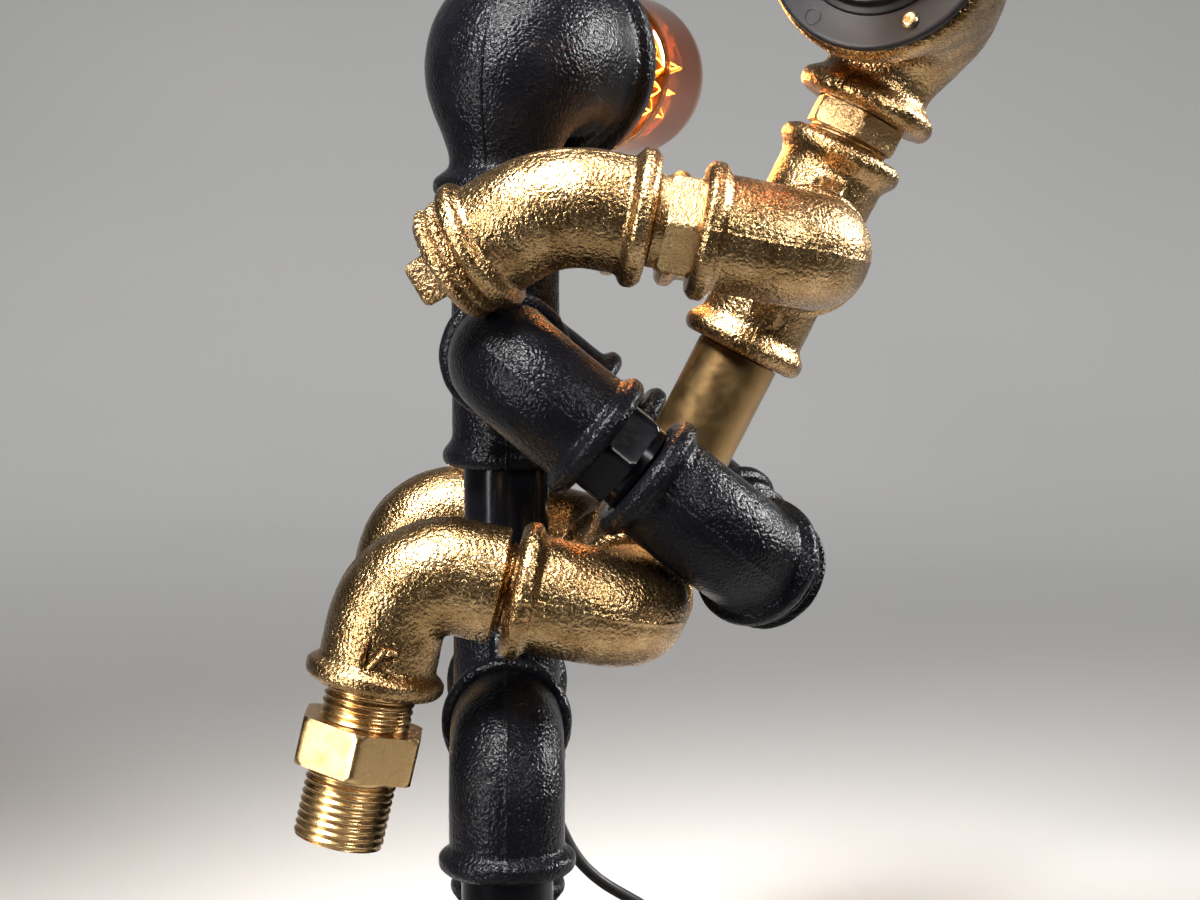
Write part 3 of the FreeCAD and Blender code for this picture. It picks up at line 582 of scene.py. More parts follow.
@dataclass(frozen=True)
class SmoothPaint(Finish):
    """Paint over drawn pipe or a machined face: fine lines and a few specks."""

    name: str
    slot: str
    colour: Colour
    speck: Colour
    metallic: float
    gloss: tuple[float, float]
    relief: float = 0.00002

    def build(self) -> bpy.types.Material:
        """Even colour with rare specks, and shallow waviness."""
        wires = Wires(self.name)
        specks = wires.noise(420.0, 4.0, 0.7)
        wave = wires.noise(260.0, 3.0, 0.5)
        stops = ((0.27, self.speck), (0.31, self.colour), (1.0, self.colour))
        wires.dress(specks, stops, wave, self.gloss)
        wires.set(Metallic=self.metallic, Specular_IOR_Level=METAL_GLINT if self.metallic else ENAMEL_GLINT)
        wires.bumps((wave, self.relief), (wires.noise(1500.0, 2.0), self.relief / 2))
        return wires.material


@dataclass(frozen=True)
class Moulded(Finish):
    """Moulded plastic or rubber with a faint flow pattern."""

    name: str
    slot: str
    colour: Colour
    gloss: tuple[float, float]
    grain_depth: float = 0.00001

    def build(self) -> bpy.types.Material:
        """Colour and roughness drift slowly; the relief is a fine grain."""
        wires = Wires(self.name)
        flow = wires.noise(90.0, 3.0)
        darker = tuple(c * 0.75 for c in self.colour)
        wires.dress(flow, ((0.3, darker), (0.7, self.colour)), flow, self.gloss)
        wires.set(Specular_IOR_Level=MOULDED_GLINT)
        wires.bumps((wires.noise(1600.0, 2.0), self.grain_depth))
        return wires.material


@dataclass(frozen=True)
class BareMetal(Finish):
    """Bare metal with fine turning marks."""

    name: str
    slot: str
    colour: Colour
    gloss: tuple[float, float] = (0.2, 0.35)

    def build(self) -> bpy.types.Material:
        """Colour dulled in patches, with scratches finer than a tenth of a millimetre."""
        wires = Wires(self.name)
        dull = wires.noise(300.0, 4.0, 0.6)
        darker = tuple(c * 0.7 for c in self.colour)
        wires.dress(dull, ((0.35, darker), (0.6, self.colour)), dull, self.gloss)
        wires.set(Metallic=1.0)
        wires.bumps((wires.noise(2500.0, 2.0), 0.000008))
        return wires.material


@dataclass(frozen=True)
class Glass(Finish):
    """Blown glass, tinted through."""

    name: str
    slot: str
    tint: Colour

    def build(self) -> bpy.types.Material:
        """Clear transmission with streaks in the tint and a faint waviness."""
        wires = Wires(self.name)
        streaks = wires.noise(60.0, 2.0)
        lighter = tuple(min(1.0, c * 1.12) for c in self.tint)
        stops = ((0.3, self.tint), (0.7, lighter))
        wires.link(wires.colours(streaks, stops), wires.shader.inputs["Base Color"])
        wires.set(Transmission_Weight=1.0, Roughness=0.02, IOR=1.46)
        wires.bumps((streaks, 0.00004))
        return wires.material


@dataclass(frozen=True)
class Glow(Finish):
    """Glowing wire: the filament in its glow, and also the painted glow given to the supports of a lit bulb.
    """

    name: str
    slot: str
    colour: Colour
    strength: float

    def build(self) -> bpy.types.Material:
        """Emission that varies a little along the wire."""
        wires = Wires(self.name)
        beat = wires.noise(220.0, 2.0)
        hotter = tuple(min(1.0, c * 1.5) for c in self.colour)
        stops = ((0.35, self.colour), (0.65, hotter))
        wires.link(wires.colours(beat, stops), wires.shader.inputs["Emission Color"])
        wires.link(wires.colours(beat, stops), wires.shader.inputs["Base Color"])
        wires.set(Emission_Strength=self.strength, Roughness=0.6)
        return wires.material


ENAMEL = CastPaint("black_enamel_cast", "black_enamel", (0.002, 0.002, 0.003), (0.003, 0.003, 0.004),
                   (0.005, 0.005, 0.006), 0.0, (0.14, 0.24), (1200.0, 0.00038), (2600.0, 0.00006))
ENAMEL_PIPE = SmoothPaint("black_enamel_pipe", "black_enamel", (0.003, 0.003, 0.004), (0.002, 0.002, 0.003),
                          0.0, (0.12, 0.20))
GOLD = CastPaint("gold_paint_cast", "gold_paint", (0.17, 0.095, 0.035), (0.33, 0.205, 0.09),
                 (0.50, 0.335, 0.17), 1.0, (0.20, 0.34), (1150.0, 0.00036), (2600.0, 0.00007))
GOLD_ROUGH = CastPaint("gold_paint_plug", "gold_paint", (0.14, 0.08, 0.03), (0.34, 0.215, 0.10),
                       (0.58, 0.40, 0.22), 1.0, (0.22, 0.36), (1050.0, 0.00110), (2400.0, 0.00018))
# Hexagon nipples: the same gold paint, given paler colours as painted light for how brightly their faces
# catch the lamps.
GOLD_FORGED_PAINTED_LIGHT = CastPaint("gold_paint_forged", "gold_paint", (0.36, 0.225, 0.10), (0.44, 0.285, 0.13),
                        (0.56, 0.38, 0.19), 1.0, (0.26, 0.38), (1600.0, 0.00028), (3200.0, 0.00006))
GOLD_PIPE = SmoothPaint("gold_paint_pipe", "gold_paint", (0.36, 0.225, 0.095), (0.05, 0.04, 0.03),
                        1.0, (0.28, 0.40), 0.00005)
# Threaded foot nipples: the same gold paint, paler still, as painted light for the bright thread crests.
GOLD_THREAD_PAINTED_LIGHT = SmoothPaint("gold_paint_thread", "gold_paint", (0.56, 0.365, 0.165), (0.25, 0.15, 0.06),
                          1.0, (0.22, 0.32), 0.00001)
MOULDING = Moulded("black_moulding_satin", "black_moulding", (0.012, 0.012, 0.014), (0.30, 0.40))
RUBBER = Moulded("rubber_matt", "rubber", (0.02, 0.02, 0.02), (0.6, 0.8), 0.00003)
SHEATH = Moulded("cord_sheath", "black_cord", (0.014, 0.014, 0.015), (0.38, 0.52), 0.00002)
BRASS = BareMetal("brass_plain", "brass", (0.80, 0.60, 0.30))
ZINC = BareMetal("zinc_yellow", "zinc_screw", (0.85, 0.68, 0.38), (0.18, 0.3))
AMBER = Glass("amber_glass_blown", "amber_glass", (0.62, 0.24, 0.04))
STEM_GLASS = Glass("stem_glass", "filament", (0.95, 0.95, 0.92))
HOT_WIRE = Glow("filament_glow", "filament", (1.0, 0.62, 0.34), 320.0)
COLD_WIRE = BareMetal("filament_cold", "filament", (0.30, 0.20, 0.13))
SUPPORT = BareMetal("filament_support", "filament", (0.55, 0.42, 0.30))
# Supports of a lit bulb give no light of their own: their orange emission is a painted glow for the
# filament's light on them.
SUPPORT_PAINTED_GLOW = Glow("filament_support_warm", "filament", (1.0, 0.36, 0.06), 9.0)


# ---------------------------------------------------------------- workshop


def in_scene(name: str, data: bpy.types.ID) -> bpy.types.Object:
    """New object of the scene that holds the data."""
    made = bpy.data.objects.new(name, data)
    bpy.context.scene.collection.objects.link(made)
    return made


class Workshop:
    """Writes shells into the scene, each on its body and in place of its node."""

    def __init__(self, frame: dict) -> None:
        """Find where the layout frame lies in the row frame.
        """
        self.frame = frame
        low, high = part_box("dark_torso_nipple")
        self.shift = np.array([(low.x + high.x) / 2 / MM, (low.y + high.y) / 2 / MM, 0.0])
        self.body_of = {node: body for body, nodes in frame["record"]["behaviour"]["bodies"].items()
                        for node in nodes}

    def row(self, points: Array) -> Array:
        """Points of the layout frame, in metres of the row frame."""
        return (np.asarray(points, float) + self.shift) * MM

    def layout(self, points: Array) -> Array:
        """Points of the row frame in metres, in the layout frame."""
        return np.asarray(points, float) / MM - self.shift

    def add(self, name: str, shell: Shell, finish: Finish, replaces: Sequence[str] = (),
            body: str = "", crease: float = 40.0) -> bpy.types.Object:
        """Write a shell as a piece of the scene.

        Args:
            name: name of the piece.
            shell: its mesh in the layout frame.
            finish: its finish.
            replaces: nodes that it stands for.
            body: body that it rides on; by default that of the first node it replaces.
            crease: angle between faces, in degrees, above which an edge is sharp.

        Returns:
            The new object.
        """
        mesh = bpy.data.meshes.new(name)
        mesh.from_pydata(self.row(shell.points).tolist(), [], shell.faces)
        mesh.materials.append(finish.material)
        mesh.polygons.foreach_set("use_smooth", np.ones(len(mesh.polygons), bool))
        mesh.update()
        mesh.set_sharp_from_angle(angle=math.radians(crease))
        piece = in_scene(name, mesh)
        if replaces:
            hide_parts(*replaces)
        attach(piece, body or self.body_of[replaces[0]])
        LOG.info("%s: %d faces on %s", name, len(shell.faces), body or self.body_of[replaces[0]])
        return piece

    def dress(self, finish: Finish, *nodes: str) -> None:
        """Give CAD nodes whose shape is right a finish."""
        for node in nodes:
            part = self.frame["nodes"][node]
            if part.material_slots:
                for place in part.material_slots:
                    place.material = finish.material
            else:
                part.data.materials.append(finish.material)

    def blank(self, node: str) -> bmesh.types.BMesh:
        """Copy of a node's mesh with its loose triangles joined, as a bmesh."""
        build = bmesh.new()
        build.from_mesh(self.frame["nodes"][node].data)
        bmesh.ops.remove_doubles(build, verts=build.verts, dist=2e-6)
        bmesh.ops.recalc_face_normals(build, faces=build.faces)
        return build

    def fused(self, node: str, cell: float, rounds: int) -> Shell:
        """Skin of a node as a casting has it, every edge rounded.

        The node's joined copy is remeshed in cubes of side cell, and the skin is then relaxed.

        Args:
            node: the CAD node.
            cell: side of the cubes in millimetres.
            rounds: how often the skin is relaxed.

        Returns:
            Shell of quads in the layout frame.
        """
        build = self.blank(node)
        mesh = bpy.data.meshes.new("casting_blank")
        build.to_mesh(mesh)
        build.free()
        blank = in_scene("casting_blank", mesh)
        skin = blank.modifiers.new("skin", "REMESH")
        skin.mode = "VOXEL"
        skin.voxel_size = cell * MM
        evaluated = blank.evaluated_get(bpy.context.evaluated_depsgraph_get())
        made = evaluated.to_mesh()
        flat = np.empty(len(made.vertices) * 3)
        made.vertices.foreach_get("co", flat)
        corners = np.empty(len(made.loops), int)
        made.loops.foreach_get("vertex_index", corners)
        evaluated.to_mesh_clear()
        bpy.data.objects.remove(blank)
        bpy.data.meshes.remove(mesh)
        shell = Shell(self.layout(flat.reshape(-1, 3)), corners.reshape(-1, 4).tolist())
        return relaxed(shell, rounds)


@dataclass(frozen=True)
class Casting:
    """Relief that the mould and the paint leave on a casting.

    Attributes:
        wave: height of slow dents.
        lumps: height of lumps about three millimetres wide.
        peel: height of the orange peel.
        seed: picks the pattern.
        seam: height of the parting line.
    """

    wave: float
    lumps: float
    peel: float
    seed: int
    seam: float

    def relief(self, points: Array) -> Array:
        """Height of the surface over its plain form: three noises added."""
        return (self.wave * grain(points, 8.0, self.seed) + self.lumps * grain(points, 3.1, self.seed + 1)
                + self.peel * grain(points, 1.35, self.seed + 2))

    def roughened(self, shell: Shell) -> Shell:
        """A shell of quads with the relief along its normals."""
        shell = shell.outward()
        step = self.relief(shell.points)[:, None] * vertex_normals(shell)
        return Shell(shell.points + step, shell.faces)


DARK_CAST = Casting(0.10, 0.06, 0.04, 11, 0.22)
LIGHT_CAST = Casting(0.13, 0.08, 0.07, 37, 0.17)


# ---------------------------------------------------------------- fittings


def bead_height(inward: Array, height: float = FIT.bead_r - FIT.body_r, middle: float = 2.75,
                ahead: float = 2.75, behind: float = 2.35) -> Array:
    """Height of the rounded bead over the body, by distance inward from the face: a flat-topped bell."""
    spread = np.where(inward < middle, ahead, behind)
    return height * np.exp(-np.abs((inward - middle) / spread) ** 3.6)


def thread_height(heights: Array, angles: Array, depth: float = FIT.thread_depth) -> Array:
    """Depth of a thread below its crest: a cosine of the height and the angle, as paint rounds it."""
    turns = heights / FIT.pitch - angles / TURN
    return depth * (0.5 - 0.5 * np.cos(TURN * turns))


@dataclass(frozen=True)
class Elbow:
    """Elbow casting: a round body carried along two legs and the bend between them.

    Attributes:
        place: local Z points out of the first end, local X towards the second.
        first: distance from the centre to the first end.
        last: distance from the centre to the second end.
        bend_r: radius of the bend's middle line.
        turn: angle of the bend in degrees.
        first_kind: whether the first end is male or female.
        cast: relief of the casting.
    """

    place: Place
    first: float
    last: float
    bend_r: float
    turn: float
    first_kind: Kind
    cast: Casting
    columns: int = 120

    def line(self, s: Array) -> tuple[Array, Array]:
        """Middle line at the distances s from the first end: a leg, an arc, and a leg.

        Returns:
            Local points, and the local directions towards the inside of the bend.
        """
        angle = math.radians(self.turn)
        start = self.bend_r * math.tan(angle / 2)
        leg = self.first - start
        bent = np.clip((s - leg) / self.bend_r, 0, angle)
        before = np.minimum(s, leg)
        after = np.maximum(s - leg - self.bend_r * angle, 0)
        x = self.bend_r * (1 - np.cos(bent)) + after * np.sin(bent)
        z = self.first - before - self.bend_r * np.sin(bent) - after * np.cos(bent)
        flat = np.zeros_like(x)
        return np.stack([x, flat, z], -1), np.stack([np.cos(bent), flat, np.sin(bent)], -1)

    @property
    def length(self) -> float:
        """Length of the middle line."""
        angle = math.radians(self.turn)
        start = self.bend_r * math.tan(angle / 2)
        return self.first + self.last - 2 * start + self.bend_r * angle

    def profile(self) -> tuple[Array, Array, Array, Array]:
        """Rows of the outside and back through the bore: distance, radius, relief and thread weights."""
        end = self.length
        rows: list[tuple[float, float, float, float]] = []
        if self.first_kind is Kind.MALE:
            rows += [(s, FIT.thread_r, 0.0, 1.0) for s in np.arange(0.0, FIT.thread, 0.28)]
            rows += [(FIT.thread, FIT.thread_r, 0.0, 0.4), (FIT.thread, FIT.body_r - 1.2, 0.3, 0.0),
                     (FIT.thread + 0.15, FIT.body_r - 0.45, 0.5, 0.0),
                     (FIT.thread + 0.6, FIT.body_r, 1.0, 0.0)]
            body_start = FIT.thread + 1.0
        else:
            inward = np.arange(0.0, BEAD_REACH, BEAD_STEP)
            rows += [(s, FIT.body_r + h, 0.6 + 0.05 * s, 0.0) for s, h in zip(inward, bead_height(inward))]
            body_start = BEAD_REACH + 0.1
        rows += [(s, FIT.body_r, 1.0, 0.0) for s in np.arange(body_start, end - BEAD_REACH, 0.62)]
        inward = np.arange(BEAD_REACH, -0.01, -BEAD_STEP)
        rows += [(end - d, FIT.body_r + h, 0.6 + 0.05 * d, 0.0) for d, h in zip(inward, bead_height(inward))]
        socket = FIT.socket_depth
        rows += [(end, FIT.socket_r + 0.8, 0.2, 0.0), (end - 0.7, FIT.socket_r, 0.0, 0.0),
                 (end - socket, FIT.socket_r, 0.0, 0.0), (end - socket - 0.1, FIT.waterway_r, 0.0, 0.0)]
        stop = socket if self.first_kind is Kind.FEMALE else 0.0
        rows += [(s, FIT.waterway_r, 0.0, 0.0) for s in np.arange(end - socket - 2.0, stop + 0.5, -2.0)]
        if self.first_kind is Kind.FEMALE:
            rows += [(socket, FIT.waterway_r, 0.0, 0.0), (socket, FIT.socket_r, 0.0, 0.0),
                     (0.7, FIT.socket_r, 0.0, 0.0), (0.0, FIT.socket_r + 0.8, 0.2, 0.0)]
        else:
            rows += [(0.0, FIT.waterway_r, 0.0, 0.0)]
        table = np.array(rows)
        return table[:, 0], table[:, 1], table[:, 2], table[:, 3]

    def shell(self) -> Shell:
        """Surface of distance along the middle line and angle round it, with relief, seam and thread.

        The columns crowd towards the plane of the bend, where the parting line stands proud.
        """
        s, radius, relief, threaded = self.profile()
        even = around(self.columns)
        angles = even - 0.3 * np.sin(2 * even)
        centre, inward = self.line(s)
        rim = (np.cos(angles)[None, :, None] * inward[:, None, :]
               + np.sin(angles)[None, :, None] * Y_AXIS[None, None, :])
        plain = self.place.lay(centre[:, None, :] + radius[:, None, None] * rim)
        offset = radius[:, None] * np.sin(angles)[None, :]
        line_height = self.cast.seam * np.exp(-(offset / 0.5) ** 2)
        line_height *= 1 + 0.9 * grain(plain, 9.0, self.cast.seed + 9)
        height = relief[:, None] * (self.cast.relief(plain) + line_height)
        height -= threaded[:, None] * thread_height(s[:, None], angles[None, :])
        local = centre[:, None, :] + (radius[:, None] + height)[..., None] * rim
        return net(self.place.lay(local), ring=True)


def street_elbow(place: Place, cast: Casting) -> Shell:
    """Right-angle elbow with its male end on local +Z and its bead on +X."""
    return Elbow(place, FIT.male_reach, FIT.face, FIT.bend_r, 90.0, Kind.MALE, cast).shell()


def half_elbow(place: Place, cast: Casting) -> Shell:
    """45 degree elbow with two beads."""
    return Elbow(place, FIT.face_45, FIT.face_45, FIT.bend_r_45, 45.0, Kind.FEMALE, cast).shell()


def hexagon_radius(angles: Array, across: float) -> Array:
    """Radius of a hexagon with slightly blunted corners, by angle; a corner lies at angle 0."""
    folded = angles % (TURN / 6) - TURN / 12
    return np.minimum(across / 2 / np.cos(folded), across / 2 * 1.143)


@dataclass(frozen=True)
class Nipple:
    """Threaded nipple, with a hexagon or plain pipe between its threads.

    Attributes:
        place: local Z starts at the first socket's face.
        low, high: ends of the thread.
        hex_start: where the hexagon starts, or where plain pipe does.
        hex_end: where it ends.
        ring_end: end of the plain ring that follows the hexagon.
        hexagonal: whether it has a hexagon.
        across: size of the hexagon across its flats.
    """

    place: Place
    low: float
    high: float
    hex_start: float
    hex_end: float
    ring_end: float
    hexagonal: bool = True
    across: float = FIT.hex_across
    columns: int = 132

    def shell(self) -> Shell:
        """Radius as a function of height and angle, in one profile that returns through the bore."""
        angles = around(self.columns)
        heights: list[float] = []
        radii: list[Array] = []

        def row(z: float, radius: Array | float) -> None:
            """Add one row."""
            heights.append(z)
            radii.append(np.broadcast_to(np.asarray(radius, float), angles.shape))

        def threads(start: float, end: float) -> None:
            """Add the rows of a thread, which runs out at both ends."""
            for z in np.arange(start, end, 0.2):
                weight = ramp(0.0, 0.8, z - self.low) * ramp(0.0, 0.8, self.high - z)
                tip = FIT.thread_r - 0.5 * (1 - weight)
                row(z, tip - weight * thread_height(np.array(z), angles))
            row(end, FIT.thread_r - 0.3)

        threads(self.low, self.hex_start)
        if self.hexagonal:
            flat = hexagon_radius(angles, self.across)
            corner = self.across / 2 * 1.1547
            width = self.hex_end - self.hex_start
            row(self.hex_start, self.across / 2 - 0.6)
            for d in np.linspace(0.0, width, 23):
                edge = np.minimum(d, width - d)
                chamfer = 0.1 + 0.55 * (1 - min(float(edge) / 1.2, 1.0))
                row(self.hex_start + d, np.minimum(flat, corner - chamfer))
            row(self.hex_end, self.across / 2 - 0.6)
            if self.ring_end > self.hex_end:
                row(self.hex_end, FIT.thread_r + 0.15)
                row(self.ring_end - 0.7, FIT.thread_r + 0.15)
        else:
            row(self.hex_start, FIT.pipe_r)
            for z in np.linspace(self.hex_start + 0.2, self.hex_end - 0.2, 40):
                row(z, FIT.pipe_r)
            row(self.hex_end, FIT.pipe_r)
        threads(self.ring_end, self.high)
        row(self.high, FIT.bore_r + 0.6)
        row(self.high - 0.6, FIT.bore_r)
        row(self.low + 0.6, FIT.bore_r)
        row(self.low, FIT.bore_r + 0.6)
        return spun(self.place, np.array(heights), np.array(radii), ring=True)


def short_nipple(place: Place) -> Shell:
    """Short hexagon nipple; local Z starts at the first socket's face."""
    return Nipple(place, -FIT.engagement, FIT.nipple_gap + FIT.engagement, 0.0, FIT.hex_width,
                  FIT.nipple_gap).shell()


def neck_nipple(place: Place) -> Shell:
    """Nipple under a head: a little bare thread, then the hexagon against the head."""
    return Nipple(place, -FIT.engagement, FIT.neck_gap + FIT.engagement, FIT.neck_ring, FIT.neck_gap,
                  FIT.neck_gap).shell()


def pipe_nipple(place: Place, exposed: float) -> Shell:
    """Straight pipe with threaded ends; local Z starts at the first socket's face."""
    return Nipple(place, -FIT.engagement, exposed + FIT.engagement, 0.4, exposed - 0.4, exposed - 0.4,
                  False).shell()


def superellipse(angles: Array, half: float, power: float) -> Array:
    """Radius of a rounded square, by angle: the superellipse of that power."""
    return half / (np.abs(np.cos(angles)) ** power + np.abs(np.sin(angles)) ** power) ** (1 / power)


@dataclass(frozen=True)
class SquarePlug:
    """Plug with a round collar and a square head; local Z starts at the socket's face."""

    place: Place
    cast: Casting
    collar_r: float = 14.3
    collar_width: float = 7.0
    head: float = 11.0
    head_length: float = 7.5

    def shell(self) -> Shell:
        """Radius by height and angle: thread, collar with rounded rims, and tapering square head."""
        angles = around(112)
        round_ = np.ones_like(angles)
        rows: list[tuple[float, Array]] = [(-FIT.engagement, 8.0 * round_)]
        rows += [(z, FIT.thread_r - thread_height(np.array(z), angles))
                 for z in np.arange(-FIT.engagement, 0.0, 0.4)]
        rows.append((0.05, FIT.thread_r * round_))
        for d in np.linspace(0.0, self.collar_width - 0.1, 26):
            edge = min(d, self.collar_width - d)
            rim = 1.5 * (1 - float(ramp(-0.2, 1.8, np.array(edge))))
            groove = 1.1 * math.exp(-((d - 3.6) / 0.8) ** 2)
            rows.append((0.05 + d, (self.collar_r - rim - groove) * round_))
        foot = superellipse(angles, self.head / 2 + 0.5, 5.5)
        rows.append((self.collar_width, np.maximum(foot + 0.7, 8.6)))
        for share in np.linspace(0.0, 1.0, 16):
            swell = 0.9 * (1 - ramp(0.0, 0.22, np.array(share)))
            shrink = 0.8 * ramp(0.86, 1.02, np.array(share))
            size = self.head / 2 * (1.03 - 0.05 * share)
            rows.append((self.collar_width + 0.15 + share * (self.head_length - 0.15),
                         superellipse(angles, size, 7.0) + swell - shrink))
        for inset in (0.75, 0.45, 0.15):
            rows.append((self.collar_width + self.head_length + 0.1,
                         superellipse(angles, self.head / 2 * inset, 6.0)))
        heights = np.array([z for z, _ in rows])
        shell = spun(self.place, heights, np.array([r for _, r in rows]))
        shift = self.cast.relief(shell.points)[:, None] * unit_rows(shell.points - self.place.origin)
        return Shell(shell.points + 1.3 * shift, shell.faces)


def unit_rows(vectors: Array) -> Array:
    """Each row at length one."""
    return vectors / np.maximum(np.linalg.norm(vectors, axis=-1, keepdims=True), 1e-9)


def parting_ridge(shop: Workshop, node: str, place: Place, keep: Callable[[Array], bool],
                  height: float = 0.34) -> list[Shell]:
    """Ridges where a casting's outside meets its parting plane, the local plane of X and Z.

    Args:
        shop: the workshop.
        node: node of the casting.
        place: local frame of the casting.
        keep: whether local points belong to the outside.
        height: how far the ridge stands proud.

    Returns:
        One thin tube for each stretch of the section's outline.
    """
    build = shop.blank(node)
    x, y, z = place.axes()
    cut = bmesh.ops.bisect_plane(build, geom=build.verts[:] + build.edges[:] + build.faces[:],
                                 plane_co=shop.row(place.origin), plane_no=y, dist=1e-7)["geom_cut"]
    edges = [item for item in cut if isinstance(item, bmesh.types.BMEdge)]
    links: dict[int, list[int]] = {}
    spots: dict[int, Array] = {}
    for edge in edges:
        one, two = edge.verts
        links.setdefault(one.index, []).append(two.index)
        links.setdefault(two.index, []).append(one.index)
    build.verts.ensure_lookup_table()
    for number in links:
        spots[number] = shop.layout(np.array(build.verts[number].co))
    build.free()
    basis = np.stack([x, y, z])
    local = {n: basis @ (p - place.origin) for n, p in spots.items()}
    outside = {n for n, p in local.items() if keep(p)}
    ridges, seen = [], set()
    starts = [n for n in outside if sum(m in outside for m in links[n]) <= 1] + sorted(outside)
    for start in starts:
        if start in seen:
            continue
        chain, here = [start], start
        seen.add(start)
        while True:
            following = [m for m in links[here] if m in outside and m not in seen]
            if not following:
                break
            here = following[0]
            seen.add(here)
            chain.append(here)
        if len(chain) > 3:
            path = resampled(np.array([spots[n] for n in chain]), 0.8)
            if len(path) > 6:
                ridges.append(carried(path, height, columns=8))
    return ridges


def resampled(path: Array, step: float) -> Array:
    """The path with points a step apart, softened once."""
    lengths = np.concatenate([[0], np.cumsum(np.linalg.norm(np.diff(path, axis=0), axis=1))])
    count = max(int(lengths[-1] / step), 2)
    spots = np.linspace(0, lengths[-1], count)
    even = np.stack([np.interp(spots, lengths, path[:, k]) for k in range(3)], -1)
    soft = even.copy()
    soft[1:-1] = (even[:-2] + 2 * even[1:-1] + even[2:]) / 4
    return soft


# ---------------------------------------------------------------- heads


@dataclass(frozen=True)
class HolderSizes:
    """Moulded lamp holder; heights from the mouth's face outwards."""

    barrel_r: float = 20.3
    barrel: float = 21.0
    flange_r: float = 28.0
    flange: float = 2.6
    collar_r: float = 18.0
    collar: float = 4.6
    shell_r: float = 14.0
    floor: float = -17.0
    screw_pitch_r: float = 23.2


@dataclass(frozen=True)
class BulbSizes:
    """Tubular bulb; heights from the mouth's face outwards."""

    full_r: float = 23.0
    neck_r: float = 13.6
    low: float = 8.0
    shoulder: float = 33.0
    tip: float = 85.0
    wall: float = 0.9
    cage_low: float = 38.0
    cage_high: float = 69.0
    cage_low_r: float = 13.0
    cage_high_r: float = 13.6
    wire_r: float = 0.27
    hook_r: float = 0.17
    low_ring: float = 37.0
    high_ring: float = 72.0


